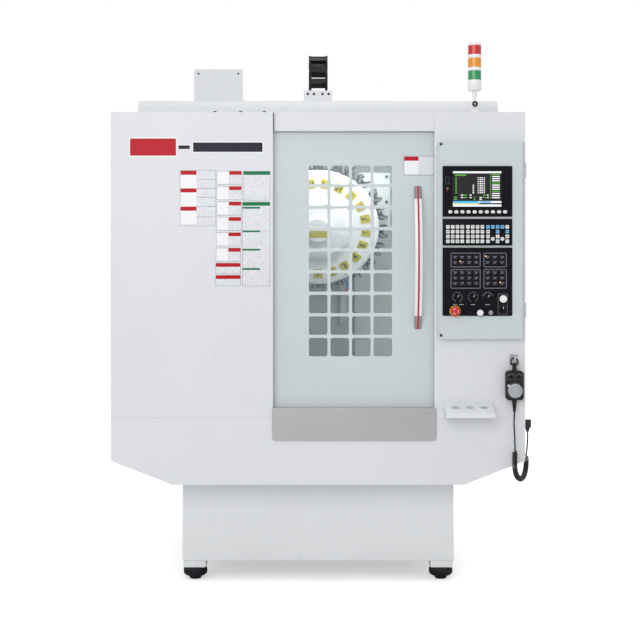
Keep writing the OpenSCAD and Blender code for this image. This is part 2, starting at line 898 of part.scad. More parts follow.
// Plan of the console pan with bevelled upright edges, drawn in by an inset
function console_plan(i) = [
    [console_x + i, console_back + 2 * i], [console_x + i, console_front + console_bevel + 0.41 * i],
    [console_x + console_bevel + 0.41 * i, console_front + i],
    [console_right - console_bevel - 0.41 * i, console_front + i],
    [console_right - i, console_front + console_bevel + 0.41 * i], [console_right - i, console_back + 2 * i]
];
unit_edge = 3;

// Opening in the pan for the housing of a unit
module unit_cutout(z, h)
    block([unit_x + unit_edge - seat_fit, unit_x + unit_w - unit_edge + seat_fit],
          [console_front - 1, console_front + sheet + 1],
          [z + unit_edge - seat_fit, z + h - unit_edge + seat_fit]);

// A black unit: a faceplate on the pan with its housing through the cut-out
module unit(z, h) {
    block([unit_x, unit_x + unit_w], [unit_front, console_front], [z, z + h]);
    block([unit_x + unit_edge, unit_x + unit_w - unit_edge],
          [console_front - 1, unit_front + unit_depth], [z + unit_edge, z + h - unit_edge]);
}

module console_panel()
    color("#c8d2d5") {
        difference() {
            translate([0, 0, console_z]) linear_extrude(console_h) polygon(console_plan(0));
            translate([0, 0, console_z + sheet])
                linear_extrude(console_h - 2 * sheet) polygon(console_plan(sheet));
            unit_cutout(display_z, display_h);
            unit_cutout(keyboard_z, keyboard_h);
            unit_cutout(operator_z, operator_h);
        }
        reach = console_hinge_x - console_right + 1;
        for (z = console_hinges)
            translate([console_hinge_x, console_hinge_y, z])
                turning_knuckles() translate([-reach, -1.5]) square([reach, 3]);
    }

screen_w = 204;
screen_h = 149;
screen_x = 42;
screen_top = 21;
soft_keys = 10;
soft_pitch = 25.4;
soft_x = 31.5;
soft_z = 20;
soft_w = 17;
soft_h = 13;

module display_unit()
    color("#1c1c1f") {
        difference() {
            unit(display_z, display_h);
            block([unit_x + screen_x, unit_x + screen_x + screen_w], [unit_front - 1, unit_front + 2],
                  [display_z + display_h - screen_top - screen_h, display_z + display_h - screen_top]);
        }
        upright(unit_front - 2, 2)
            for (i = [0:soft_keys - 1])
                translate([unit_x + soft_x + i * soft_pitch, display_z + soft_z])
                    polygon(round_corners(soft_w, soft_h, soft_h / 2 - 0.1));
    }

key_side = 14.5;
key_pitch = 20.3;
key_block_gap = 2.8;
key_top = 33.6;
key_proud = 3;

// Distance of a column of keys from the unit's left edge; each block of four stands a little apart
function key_column(i) = 25.6 + i * key_pitch + floor(i / 4) * key_block_gap;

module keyboard_unit()
    color("#26272b") {
        unit(keyboard_z, keyboard_h);
        upright(unit_front - key_proud, key_proud)
            for (row = [0:3], i = [0:12])
                if (!(row == 1 && (i == 9 || i == 11)))
                    translate([unit_x + key_column(i), keyboard_z + keyboard_h - key_top - row * key_pitch])
                        polygon(round_corners(key_side, key_side, 2));
    }

// Places a control on the operator panel, at a distance from its left and top edges, facing +Z
module control_at(x, z)
    translate([unit_x + x, unit_front, operator_z + operator_h - z]) rotate([90, 0, 0]) children();

dial_row = 206;
dial_places = [61.7, 126, 187.7];
stop_place = [51.7, 265];
reset_place = [109.6, 271];
start_place = [155.8, 272];
lock_place = [200, 271];
hold_place = [252, 214];
selector_place = [250.7, 257];
knob_shaft_r = 4;
stop_shaft_r = 11;
button_shaft_r = 6;
shaft_l = 26;
button_travel = 4;
frame_x = [[33, 158], [170, 267]];
frame_z = [[21.5, 82], [89.5, 171]];
stop_travel = 5;

// Bore for a control's shaft, deep enough for its travel
module shaft_bore(place, r)
    control_at(place[0], place[1])
        translate([0, 0, -shaft_l - 8]) cylinder(r = r + shaft_fit, h = shaft_l + 12);

// A raised frame round one group of keys, given by its left, right, top and bottom
module key_frame(left, right, top, bottom)
    translate([unit_x + (left + right) / 2, operator_z + operator_h - (top + bottom) / 2])
        difference() {
            polygon(round_corners(right - left, bottom - top, 5));
            polygon(round_corners(right - left - 7, bottom - top - 7, 2.5));
        }

module operator_panel()
    color("#1e1f24")
    difference() {
        union() {
            unit(operator_z, operator_h);
            upright(unit_front - 1, 2)
                for (x = frame_x, z = frame_z) key_frame(x[0], x[1], z[0], z[1]);
            for (p = [[reset_place, 13], [start_place, 15], [hold_place, 17]])
                control_at(p[0][0], p[0][1]) cylinder(r = p[1], h = 3);
            control_at(lock_place[0], lock_place[1]) cylinder(r = 9, h = 6);
            control_at(stop_place[0], stop_place[1]) cylinder(r = 23, h = 1.5);
        }
        for (x = dial_places) shaft_bore([x, dial_row], knob_shaft_r);
        shaft_bore(selector_place, knob_shaft_r);
        shaft_bore(stop_place, stop_shaft_r);
        for (p = [reset_place, start_place, hold_place]) shaft_bore(p, button_shaft_r);
        for (p = [[reset_place, 11.5], [start_place, 13], [hold_place, 15.5]])
            control_at(p[0][0], p[0][1]) translate([0, 0, -1]) cylinder(r = p[1] + shaft_fit, h = 5);
    }

// A turning knob with a skirt and a finger bar, on its shaft
module knob(r, h) {
    translate([0, 0, -shaft_l]) cylinder(r = knob_shaft_r, h = shaft_l + 1);
    translate([0, 0, slide_fit]) cylinder(r = r, h = h * 0.35);
    intersection() {
        translate([0, 0, slide_fit]) cylinder(r1 = r, r2 = r * 0.86, h = h);
        translate([-r * 0.32, -r, 0]) cube([r * 0.64, 2 * r, h + 1]);
    }
}

module dial_knob(i) color("#17171a") control_at(dial_places[i], dial_row) rotate(-30) knob(12.5, 17);

module feed_knob() dial_knob(0);

module rapid_knob() dial_knob(1);

module speed_knob() dial_knob(2);

module mode_selector()
    color("#202024") control_at(selector_place[0], selector_place[1]) knob(15, 18);

// A push button with a slightly crowned cap
module push_button(place, r)
    control_at(place[0], place[1]) {
        translate([0, 0, -shaft_l]) cylinder(r = button_shaft_r, h = shaft_l + 5);
        translate([0, 0, button_travel - 0.5]) cylinder(r = r, h = 4);
        translate([0, 0, button_travel + 3.5]) cylinder(r1 = r, r2 = r - 2, h = 1.5);
    }

module reset_button() color("#17171a") push_button(reset_place, 11.5);

module start_button() color("white") push_button(start_place, 13);

module hold_button() color("white") push_button(hold_place, 15.5);

module estop_button()
    color("#c83c3c")
    control_at(stop_place[0], stop_place[1]) {
        translate([0, 0, -shaft_l]) cylinder(r = stop_shaft_r, h = shaft_l + 10);
        rotate_extrude()
            polygon([[0, stop_travel + 3], [14, stop_travel + 3], [20, stop_travel + 9], [20, stop_travel + 14],
                     [18, stop_travel + 18], [13, stop_travel + 21], [0, stop_travel + 22.5]]);
    }

// ---------------------------------------------------------------- roof fittings

module chain_bracket()
    color("#e6e8ea") {
        difference() {
            block([-67, 65], [chain_y - 30, chain_y + 22], [hood_top, chain_base - 3]);
            block([-64, 62], [chain_y - 27, chain_y + 23], [hood_top - 1, chain_base - 6]);
        }
        block([-67, 65], [chain_y - 30, chain_y + 22], [chain_base - 3, chain_base]);
    }

link_plate_t = 6;
link_lap = 0.5;
chain_l = 650;
link_n = floor(chain_l / chain_pitch);
chain_arc = PI * chain_bend;
// Height of the chain's lower end, where the head carries it
chain_foot_z = chain_start + chain_rise - (link_n * chain_pitch - chain_rise - chain_arc) - chain_d / 2;

// Point and heading along the chain: up from the bracket, over the bend and down to the head
function chain_at(s) =
    s < chain_rise ? [chain_y, chain_start + s, 0] :
    s < chain_rise + chain_arc ?
        let (a = (s - chain_rise) / chain_bend * 180 / PI)
        [chain_y + chain_bend - chain_bend * cos(a), chain_start + chain_rise + chain_bend * sin(a), -a] :
    [chain_end, chain_start + chain_rise - (s - chain_rise - chain_arc), -180];

// Side plate of a link between its two pins, with round ends
module link_plate(d)
    union() {
        square([chain_pitch, d], center = true);
        for (x = [-1, 1]) translate([x * chain_pitch / 2, 0]) circle(r = d / 2);
    }

// One link of the chain, centred on its middle, running along +Z. Every other link is the narrower one
module chain_link(i) {
    wide = i % 2 == 0;
    d = wide ? chain_d : chain_d - 4;
    inner = wide ? chain_w / 2 - link_plate_t : chain_w / 2 - 2 * link_plate_t;
    plate = wide ? link_plate_t : link_plate_t + link_lap;
    for (side = [-1, 1])
        translate([side > 0 ? inner : -inner - plate, 0, 0])
            rotate([0, 90, 0]) linear_extrude(plate)
                link_plate(d);
    for (side = [-1, 1])
        translate([-inner, side * (d / 2 - 3) - 3, -chain_pitch * 0.24])
            cube([2 * inner, 6, chain_pitch * 0.48]);
}

module drag_chain()
    color("#202226")
    for (i = [0:link_n - 1]) {
        p = chain_at((i + 0.5) * chain_pitch);
        translate([0, p[0], p[1]]) rotate([p[2], 0, 0]) chain_link(i);
    }

pivot_z = enclosure_top + 45;
lamp_y = front_y + lamp_setback;
pivot_r = 5;

module lamp_foot()
    color("#eceeef")
    difference() {
        union() {
            block([lamp_x - 28, lamp_x + 28], [lamp_y - 25, lamp_y + 30], [enclosure_top, enclosure_top + 4]);
            upright(lamp_y, 9) {
                translate([lamp_x - 15, enclosure_top + 1]) square([30, pivot_z - enclosure_top - 1]);
                translate([lamp_x, pivot_z]) circle(r = 15);
            }
        }
        translate([lamp_x, lamp_y + 20, pivot_z]) rotate([90, 0, 0])
            cylinder(r = pivot_r + shaft_fit, h = 40);
    }

neck_top = enclosure_top + 102;
lamp_base_h = 39;
lamp_r = lamp_d / 2;

module lamp_stack()
    color("#f2f2f2") {
        translate([lamp_x, lamp_y - slide_fit, pivot_z]) rotate([90, 0, 0]) {
            cylinder(r = 14, h = 9);
            translate([0, 0, -16]) cylinder(r = pivot_r, h = 30);
            translate([0, 0, 9]) cylinder(r = 12, h = 4);
        }
        block([lamp_x - 9, lamp_x + 9], [lamp_y - 9 - slide_fit, lamp_y - slide_fit], [pivot_z, pivot_z + 30]);
        translate([lamp_x, lamp_y, pivot_z + 18]) cylinder(r = 9, h = neck_top - pivot_z - 17);
        translate([lamp_x, lamp_y, neck_top])
            rotate_extrude()
                polygon(concat(
                    [[0, 0], [lamp_r - 2, 0], [lamp_r + 1, 4], [lamp_r + 1, lamp_base_h]],
                    [for (i = [0:2]) let (z = lamp_base_h + 5 + i * lens_pitch)
                        each [[lamp_r, z], [lamp_r, z + lens_h], [lamp_r + 1, z + lens_h + 2],
                              [lamp_r + 1, z + lens_pitch - 5]]],
                    [[lamp_r - 4, lamp_base_h + 5 + 3 * lens_pitch], [0, lamp_base_h + 7 + 3 * lens_pitch]]
                ));
    }

// ---------------------------------------------------------------- electrical cabinet

cabinet_back = rear_y + cabinet_d;
door_lip = 30;
gear_plate_y = rear_y + 20;

cabinet_hinge_x = -cabinet_w / 2 - knuckle_r - slide_fit;
cabinet_hinge_y = cabinet_back + slide_fit / 2;
cabinet_hinges = [cabinet_z + 150, cabinet_z + cabinet_h - 150];
leaf_t = 3;

module electrical_cabinet()
    color("#d5d8da") {
        for (z = cabinet_hinges)
            translate([cabinet_hinge_x, cabinet_hinge_y, z])
                pinned_knuckle() translate([knuckle_r - 2, -30]) square([leaf_t + 0.5, 30 - slide_fit / 2]);
        difference() {
            block([-cabinet_w / 2, cabinet_w / 2], [rear_y, cabinet_back], [cabinet_z, cabinet_z + cabinet_h]);
            block([-cabinet_w / 2 + sheet, cabinet_w / 2 - sheet], [rear_y + sheet, cabinet_back - sheet],
                  [cabinet_z + sheet, cabinet_z + cabinet_h - sheet]);
            block([-cabinet_w / 2 + door_lip, cabinet_w / 2 - door_lip],
                  [cabinet_back - sheet - 1, cabinet_back + 1],
                  [cabinet_z + door_lip, cabinet_z + cabinet_h - door_lip]);
        }
        block([-cabinet_w / 2 + 50, cabinet_w / 2 - 50], [rear_y + sheet - 1, gear_plate_y],
              [cabinet_z + 50, cabinet_z + cabinet_h - 50]);
        for (i = [0:3])
            block([-400 + i * 150, -280 + i * 150], [gear_plate_y - 1, gear_plate_y + 190],
                  [cabinet_z + 780, cabinet_z + 1130]);
        for (i = [0:7])
            block([-400 + i * 95, -320 + i * 95], [gear_plate_y - 1, gear_plate_y + 80],
                  [cabinet_z + 540, cabinet_z + 640]);
        block([-400, 100], [gear_plate_y - 1, gear_plate_y + 220], [cabinet_z + 120, cabinet_z + 380]);
    }

switch_x = cabinet_w / 2 - 120;
switch_z = cabinet_z + cabinet_h - 330;
switch_shaft_r = 6;
door_face = cabinet_back + cabinet_door_t;

module cabinet_door()
    color("#d5d8da") {
        difference() {
            block([-cabinet_w / 2, cabinet_w / 2], [cabinet_back + slide_fit, door_face],
                  [cabinet_z, cabinet_z + cabinet_h]);
            block([-cabinet_w / 2 + sheet, cabinet_w / 2 - sheet], [cabinet_back, door_face - sheet],
                  [cabinet_z + sheet, cabinet_z + cabinet_h - sheet]);
            translate([switch_x, door_face + 1, switch_z]) rotate([90, 0, 0])
                cylinder(r = switch_shaft_r + shaft_fit, h = 40);
        }
        for (z = cabinet_hinges)
            translate([cabinet_hinge_x, cabinet_hinge_y, z])
                turning_knuckles() translate([knuckle_r - 2, slide_fit]) square([leaf_t, cabinet_door_t - 4]);
    }

module main_switch()
    color("#c83c3c")
    translate([switch_x, door_face, switch_z]) rotate([-90, 0, 0]) {
        translate([0, 0, -15]) cylinder(r = switch_shaft_r, h = 20);
        translate([0, 0, slide_fit]) cylinder(r = 32, h = 8);
        translate([-8, -28, slide_fit]) cube([16, 56, switch_out - slide_fit]);
    }

// ---------------------------------------------------------------- tool tray and hand unit

tray_inset = 342;
tray_x = half_w - tray_inset;
tray_w = 204;
tray_z = 789;
tray_fall = 40;
tray_lip = 18;
tray_hole_r = 17;
tray_holes = [for (i = [0:2]) tray_x + 45 + i * 59];
tray_t = 3;
tray_back = tray_fall + tray_lip;
tray_slope = atan2(tray_fall, tray_out);

module tool_tray()
    color("#e4e6e8")
    difference() {
        union() {
            sideways(tray_x, tray_w)
                polygon([
                    [front_y, tray_z], [front_y, tray_z - tray_back], [front_y - tray_t, tray_z - tray_back],
                    [front_y - tray_t, tray_z - tray_t * tray_fall / tray_out - tray_t / cos(tray_slope)],
                    [front_y - tray_out + tray_t,
                     tray_z - (tray_out - tray_t) * tray_fall / tray_out - tray_t / cos(tray_slope)],
                    [front_y - tray_out + tray_t, tray_z - tray_fall - tray_lip],
                    [front_y - tray_out, tray_z - tray_fall - tray_lip],
                    [front_y - tray_out, tray_z - tray_fall]
                ]);
            for (x = [tray_x, tray_x + tray_w - tray_t])
                sideways(x, tray_t)
                    polygon([
                        [front_y, tray_z], [front_y, tray_z - tray_back],
                        [front_y - tray_out, tray_z - tray_fall - tray_lip],
                        [front_y - tray_out, tray_z - tray_fall]
                    ]);
        }
        for (x = tray_holes)
            translate([x, front_y - tray_out / 2, tray_z - tray_fall / 2])
                rotate([tray_slope, 0, 0])
                    cylinder(r = tray_hole_r, h = 30, center = true);
    }

hook_z = 965;
hook_r = 4;
bail_r = 12;
bail_wire = 3;
pendant_top = 921;
pendant_y = front_y - 6 - pendant_t / 2;
wheel_z = pendant_top - 82;
wheel_y = pendant_y - pendant_t / 2;

module pendant_hook()
    color("#d9dbdc") {
        block([pendant_x - 16, pendant_x + 16], [front_y - 3, front_y], [hook_z - 22, hook_z + 22]);
        translate([pendant_x, front_y - 2, hook_z]) rotate([90, 0, 0]) cylinder(r = hook_r, h = 42);
        translate([pendant_x, front_y - 44, hook_z - hook_r]) cylinder(r = hook_r, h = 20);
    }

module pendant_body()
    color("#222226")
    difference() {
        union() {
            upright(wheel_y, pendant_t)
                translate([pendant_x, pendant_top - pendant_h / 2])
                    polygon(round_corners(pendant_w, pendant_h, 14, 6));
            translate([pendant_x, pendant_y, pendant_top - 3])
                cylinder(r1 = 12, r2 = 6, h = hook_z + hook_r - bail_r - bail_wire * 2 - pendant_top + 4);
            translate([pendant_x, pendant_y, hook_z + hook_r + 0.3 - bail_r])
                rotate([90, 0, 0]) rotate_extrude() translate([bail_r + bail_wire, 0]) circle(r = bail_wire);
            translate([pendant_x, pendant_y, pendant_top - pendant_h - 50]) cylinder(r1 = 5, r2 = 11, h = 51);
        }
        translate([pendant_x, wheel_y - 1, wheel_z]) rotate([-90, 0, 0])
            cylinder(r = knob_shaft_r + shaft_fit, h = 24);
        for (side = [-1, 1])
            translate([pendant_x + side * 17, wheel_y - 1, pendant_top - 24]) rotate([-90, 0, 0])
                cylinder(r = 3 + shaft_fit, h = 16);
    }

module handwheel()
    color("#b9bcc0")
    translate([pendant_x, wheel_y, wheel_z]) rotate([90, 0, 0]) {
        translate([0, 0, -20]) cylinder(r = knob_shaft_r, h = 24);
        rotate_extrude()
            polygon([[0, 1], [handwheel_d / 2 - 2, 1], [handwheel_d / 2, 3], [handwheel_d / 2, 12],
                     [handwheel_d / 2 - 3, 15], [handwheel_d / 2 - 7, 15], [handwheel_d / 2 - 9, 9],
                     [9, 9], [8, 13], [0, 13]]);
        translate([handwheel_d / 2 - 15, 0, 8]) cylinder(r = 4, h = 16);
    }

module pendant_selector(side)
    color("#2a2a2e")
    translate([pendant_x + side * 17, wheel_y, pendant_top - 24]) rotate([90, 0, 0]) {
        translate([0, 0, -13]) cylinder(r = 3, h = 15);
        translate([0, 0, slide_fit]) cylinder(r = 7, h = 4);
        translate([-2, -7, slide_fit]) cube([4, 14, 10]);
    }

module axis_selector() pendant_selector(-1);

module rate_selector() pendant_selector(1);

// ---------------------------------------------------------------- hand unit's cord

cord_d = 6.5;
curl_d = 24;
// Points of the cord: distance from the centre, depth behind the front covers, height
lead_route = [
    [821, -23, 748.8], [820, -24, 722], [819, -27, 698], [820, -30, 668], [821, -33, 636], [822, -35, 600.2]
];
curl_route = [
    [822, -35, 600], [821, -36, 575], [820, -36, 545], [821, -35, 515], [827, -30, 490], [838, -14, 472],
    [853, 14, 463], [868, 45, 467], [880, 74, 481], [888, 96, 503], [892, 109, 530], [893, 114, 557]
];
tail_route = [[893, 114, 557.2], [896, 119, 580], [899, 125, 603], [901, 131, 626], [901, 134, 647.6]];

function along(a, b) = (b - a) / norm(b - a);

// Direction of a route at one of its points
function heading(route, i) =
    i == 0 ? along(route[0], route[1]) :
    i == len(route) - 1 ? along(route[i - 1], route[i]) : along(route[i - 1], route[i + 1]);

// A round tube swept along a route, with flat ends
module swept_tube(route, r, sides) {
    rings = [for (i = [0:len(route) - 1])
        let (t = heading(route, i), u = cross(t, [0, 1, 0]) / norm(cross(t, [0, 1, 0])), v = cross(t, u))
        for (k = [0:sides - 1]) route[i] + r * (cos(360 * k / sides) * u + sin(360 * k / sides) * v)];
    n = len(route);
    walls = [for (i = [0:n - 2], k = [0:sides - 1])
        let (a = i * sides + k, b = i * sides + (k + 1) % sides)
        each [[a, b, b + sides], [a, b + sides, a + sides]]];
    polyhedron(points = rings, faces = concat(
        walls,
        [[for (k = [sides - 1:-1:0]) k]],
        [[for (k = [0:sides - 1]) (n - 1) * sides + k]]
    ));
}

module pendant_cord()
    color("#202024")
    translate([0, front_y, 0]) {
        swept_tube(lead_route, cord_d / 2, 8);
        swept_tube(tail_route, cord_d / 2, 8);
    }

module pendant_curl()
    color("#202024") translate([0, front_y, 0]) swept_tube(curl_route, curl_d / 2, 10);

module cord_gland()
    color("#3a3c40")
    translate([half_w, front_y + 135, 0]) {
        block([0, 44], [-16, 16], [668, 700]);
        translate([31, 0, 648]) cylinder(r1 = cord_d / 2 + 2, r2 = 12, h = 21);
    }

base_casting();
leveling_feet();
column();
guide_rails();
axis_motors();
left_front_cover();
right_front_cover();
lower_front_cover();
header_cover();
sill_apron();
left_side_panel();
right_side_panel();
rear_cover();
roof_deck();
roof_hood();
roof_box();
splash_liner();
door_track();
turret_carrier();
chain_bracket();
drag_chain();
electrical_cabinet();
cabinet_door();
main_switch();
tool_tray();
door_panel();
window_pane();
door_handle();
saddle();
cross_motor();
table();
spindle_head();
spindle_motor();
coolant_hoses();
spindle();
turret_cover();
gripper_ring();
number_plates();
console_panel();
display_unit();
keyboard_unit();
operator_panel();
estop_button();
feed_knob();
rapid_knob();
speed_knob();
start_button();
hold_button();
reset_button();
mode_selector();
lamp_foot();
lamp_stack();
pendant_hook();
pendant_body();
handwheel();
axis_selector();
rate_selector();
pendant_cord();
pendant_curl();
cord_gland();
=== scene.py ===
import math

import bmesh
import bpy
from mathutils import Matrix, Vector


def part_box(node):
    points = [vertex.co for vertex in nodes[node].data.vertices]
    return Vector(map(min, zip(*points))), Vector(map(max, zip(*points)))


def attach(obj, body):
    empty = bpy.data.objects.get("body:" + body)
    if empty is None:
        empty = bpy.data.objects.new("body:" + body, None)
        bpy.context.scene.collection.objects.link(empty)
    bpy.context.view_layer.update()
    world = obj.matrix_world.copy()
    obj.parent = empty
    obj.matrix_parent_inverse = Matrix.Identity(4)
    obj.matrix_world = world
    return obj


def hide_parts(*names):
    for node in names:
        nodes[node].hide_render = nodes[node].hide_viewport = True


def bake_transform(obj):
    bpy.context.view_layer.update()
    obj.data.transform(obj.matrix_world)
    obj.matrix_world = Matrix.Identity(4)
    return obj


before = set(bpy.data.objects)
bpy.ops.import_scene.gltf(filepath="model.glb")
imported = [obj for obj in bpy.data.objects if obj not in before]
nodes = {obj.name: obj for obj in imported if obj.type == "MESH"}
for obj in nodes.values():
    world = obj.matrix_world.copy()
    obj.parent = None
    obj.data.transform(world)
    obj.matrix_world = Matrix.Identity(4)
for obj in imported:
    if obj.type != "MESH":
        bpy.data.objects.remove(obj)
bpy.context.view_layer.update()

# ---------------------------------------------------------------- camera
# A plain long lens at chest height, level, straight in front of the machine. The small shift keeps the
# levelling feet and the signal lamp in the frame.

front_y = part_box("left_front_cover")[0].y

camera = bpy.data.objects.new("camera", bpy.data.cameras.new("camera"))
bpy.context.scene.collection.objects.link(camera)
camera.location = (0.0084, front_y - 5.5, 1.3)
camera.rotation_euler = (math.radians(90), 0, 0)
camera.data.sensor_width = 36
camera.data.lens = 73.7
camera.data.shift_y = -0.0625
camera.data.clip_end = 100
bpy.context.scene.camera = camera

# ---------------------------------------------------------------- hand unit's cord
# A black PVC cord of 6.5 mm, wound to a curly cord in its middle. It hangs from the strain relief of the hand
# unit and goes up into the gland on the machine's right side.

cord_d = 0.0065
coil_r, coil_pitch = 0.0086, 0.0074
plain_step = 0.008
cord_route = [
    (0.821, -0.023, 0.749), (0.820, -0.024, 0.722), (0.819, -0.027, 0.698), (0.820, -0.030, 0.668),
    (0.821, -0.033, 0.636), (0.822, -0.035, 0.600), (0.821, -0.036, 0.575), (0.820, -0.036, 0.545),
    (0.821, -0.035, 0.515), (0.827, -0.030, 0.490), (0.838, -0.014, 0.472), (0.853, 0.014, 0.463),
    (0.868, 0.045, 0.467), (0.880, 0.074, 0.481), (0.888, 0.096, 0.503), (0.892, 0.109, 0.530),
    (0.893, 0.114, 0.557), (0.896, 0.119, 0.580), (0.899, 0.125, 0.603), (0.901, 0.131, 0.626),
    (0.901, 0.135, 0.648),
]
coil_start, coil_end = 5, 16


def along_route(route, step):
    """Points a short step apart on a smooth line through the route's points."""
    points = [Vector((x, y + front_y, z)) for x, y, z in route]
    points = [2 * points[0] - points[1], *points, 2 * points[-1] - points[-2]]
    fine = []
    for a, b, c, d in zip(points, points[1:], points[2:], points[3:]):
        count = max(2, round((c - b).length / step))
        for i in range(count):
            t = i / count
            bend, twist = 2 * a - 5 * b + 4 * c - d, 3 * b - a - 3 * c + d
            fine.append(0.5 * (2 * b + (c - a) * t + bend * t * t + twist * t**3))
    return fine + [points[-2]]


def coiled(line, radius, pitch):
    """The line wound into a helix, which opens from nothing over its first turns and closes at its end."""
    total = sum((b - a).length for a, b in zip(line, line[1:]))
    side = (line[1] - line[0]).orthogonal().normalized()
    wound, gone, angle = [], 0.0, 0.0
    for i, point in enumerate(line):
        ahead = (line[min(i + 1, len(line) - 1)] - line[max(i - 1, 0)]).normalized()
        side = (side - ahead * side.dot(ahead)).normalized()
        step = (point - line[i - 1]).length if i else 0.0
        gone += step
        rise = min(1, gone / (3 * pitch), (total - gone) / (3 * pitch))
        angle += 2 * math.pi * step / (pitch * (4 - 3 * rise))
        swell = radius * rise * rise * (3 - 2 * rise)
        wound.append(point + swell * (math.cos(angle) * side + math.sin(angle) * ahead.cross(side)))
    return wound


cord_line = (
    along_route(cord_route[:coil_start + 1], plain_step)[:-1]
    + coiled(along_route(cord_route[coil_start:coil_end + 1], coil_pitch / 14), coil_r, coil_pitch)
    + along_route(cord_route[coil_end:], plain_step)[1:]
)
cord_curve = bpy.data.curves.new("hand_unit_cord", "CURVE")
cord_curve.dimensions = "3D"
cord_curve.bevel_depth = cord_d / 2
cord_curve.bevel_resolution = 3
cord_curve.use_fill_caps = True
spline = cord_curve.splines.new("POLY")
spline.points.add(len(cord_line) - 1)
for point, place in zip(spline.points, cord_line):
    point.co = (*place, 1)
spline.use_smooth = True
cord_shape = bpy.data.objects.new("cord_shape", cord_curve)
hand_cord = bpy.data.objects.new("hand_unit_cord", bpy.data.meshes.new_from_object(cord_shape))
bpy.data.objects.remove(cord_shape)
bpy.context.scene.collection.objects.link(hand_cord)
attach(hand_cord, "frame")
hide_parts("pendant_cord", "pendant_curl")

# ---------------------------------------------------------------- studio
# A pale floor under a white surround. Three large soft boxes and the surround light the machine evenly, so a
# colour renders about as it is written.


def srgb(red, green, blue):
    """A colour given as 0 to 255 on a screen, as the linear colour that a shader takes."""
    shares = [value / 255 for value in (red, green, blue)]
    return *[v / 12.92 if v <= 10 / 255 else ((v + 0.055) / 1.055) ** 2.4 for v in shares], 1


def fill(tree, node, sockets):
    """Fills a node's sockets, each from another node's socket or with a value."""
    for name, value in sockets.items():
        if isinstance(value, bpy.types.NodeSocket):
            tree.links.new(value, node.inputs[name])
        else:
            node.inputs[name].default_value = value


def shader_node(tree, kind, sockets=None, **settings):
    """A node with its settings made and its sockets filled."""
    made = tree.nodes.new("ShaderNode" + kind)
    for name, value in settings.items():
        setattr(made, name, value)
    fill(tree, made, sockets or {})
    return made


def maths(tree, operation, first, second, clamp=False):
    """Two values joined by one operation."""
    return shader_node(tree, "Math", {0: first, 1: second}, operation=operation, use_clamp=clamp).outputs[0]


def spread(tree, value, low, high, to_low=0.0, to_high=1.0):
    """A value's span from low to high, laid over another span and held inside it."""
    sockets = {"Value": value, "From Min": low, "From Max": high, "To Min": to_low, "To Max": to_high}
    return shader_node(tree, "MapRange", sockets).outputs["Result"]


def noise(tree, place, scale, detail, roughness=0.5):
    """Smooth random values over a place."""
    sockets = {"Vector": place, "Scale": scale, "Detail": detail, "Roughness": roughness}
    return shader_node(tree, "TexNoise", sockets).outputs["Fac"]


def mixed(tree, factor, first, second):
    """Two colours mixed by a factor."""
    sockets = {"Factor": factor, "A": first, "B": second}
    return shader_node(tree, "Mix", sockets, data_type="RGBA").outputs[2]


def object_place(tree):
    """The place on the piece itself, which every pattern here goes by."""
    return shader_node(tree, "TexCoord").outputs["Object"]


def new_material(name):
    """A material with its node tree and its shader."""
    made = bpy.data.materials.new(name)
    made.use_nodes = True
    return made, made.node_tree, made.node_tree.nodes["Principled BSDF"]


def piece(name, mesh, body, *finishes, slot=None, smooth=None):
    """A piece from a finished bmesh, with its finishes in their order, set to ride on a body."""
    bmesh.ops.remove_doubles(mesh, verts=mesh.verts, dist=1e-6)
    bmesh.ops.recalc_face_normals(mesh, faces=mesh.faces)
    data = bpy.data.meshes.new(name)
    mesh.to_mesh(data)
    mesh.free()
    if smooth:
        data.shade_smooth()
        data.set_sharp_from_angle(angle=math.radians(smooth))
    made = bpy.data.objects.new(name, data)
    bpy.context.scene.collection.objects.link(made)
    for finish in finishes:
        data.materials.append(finish)
    if body:
        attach(made, body)
    return made


def soft_box(name, place, target, width, height, power):
    """A rectangular lamp at a place, turned towards its target."""
    lamp = bpy.data.lights.new(name, "AREA")
    lamp.shape = "RECTANGLE"
    lamp.size, lamp.size_y, lamp.energy = width, height, power
    made = bpy.data.objects.new(name, lamp)
    bpy.context.scene.collection.objects.link(made)
    made.location = place
    made.rotation_euler = (Vector(target) - Vector(place)).to_track_quat("-Z", "Y").to_euler()


bpy.context.scene.view_settings.view_transform = "Standard"

surround = bpy.data.worlds.new("surround")
bpy.context.scene.world = surround
surround.use_nodes = True
tree = surround.node_tree
tree.nodes.clear()
rays = shader_node(tree, "LightPath").outputs
seen = maths(tree, "MAXIMUM", rays["Is Camera Ray"], rays["Is Transmission Ray"])
sky = shader_node(tree, "Background", {"Color": (1, 1, 1, 1), "Strength": spread(tree, seen, 0, 1, 0.6, 1)})
shader_node(tree, "OutputWorld", {"Surface": sky.outputs[0]})

soft_box("front_soft_box", (-1.5, -6.5, 3.2), (0, -0.6, 1.1), 4.5, 3.0, 115)
soft_box("top_soft_box", (0.5, -0.5, 5.2), (0, 0, 1.2), 4.5, 4.5, 70)
soft_box("rear_soft_box", (1.5, 6.0, 3.6), (0, 0.5, 1.2), 4.0, 3.0, 90)

floor_mesh = bmesh.new()
bmesh.ops.create_grid(floor_mesh, x_segments=1, y_segments=1, size=60)
floor_paint, tree, shader = new_material("floor_paint")
rays = shader_node(tree, "LightPath").outputs
fill(tree, shader, {
    "Base Color": (0.9, 0.9, 0.9, 1), "Roughness": 0.9, "Emission Color": (1, 1, 1, 1),
    "Emission Strength": spread(tree, rays["Is Camera Ray"], 0, 1, 0, 0.48),
})
piece("studio_floor", floor_mesh, None, floor_paint)

# ---------------------------------------------------------------- front covers
# Folded sheet steel, powder coated off-white, screwed to the frame from behind. The coat has a fine orange
# peel, a little dust on what faces up and faint scuffs.


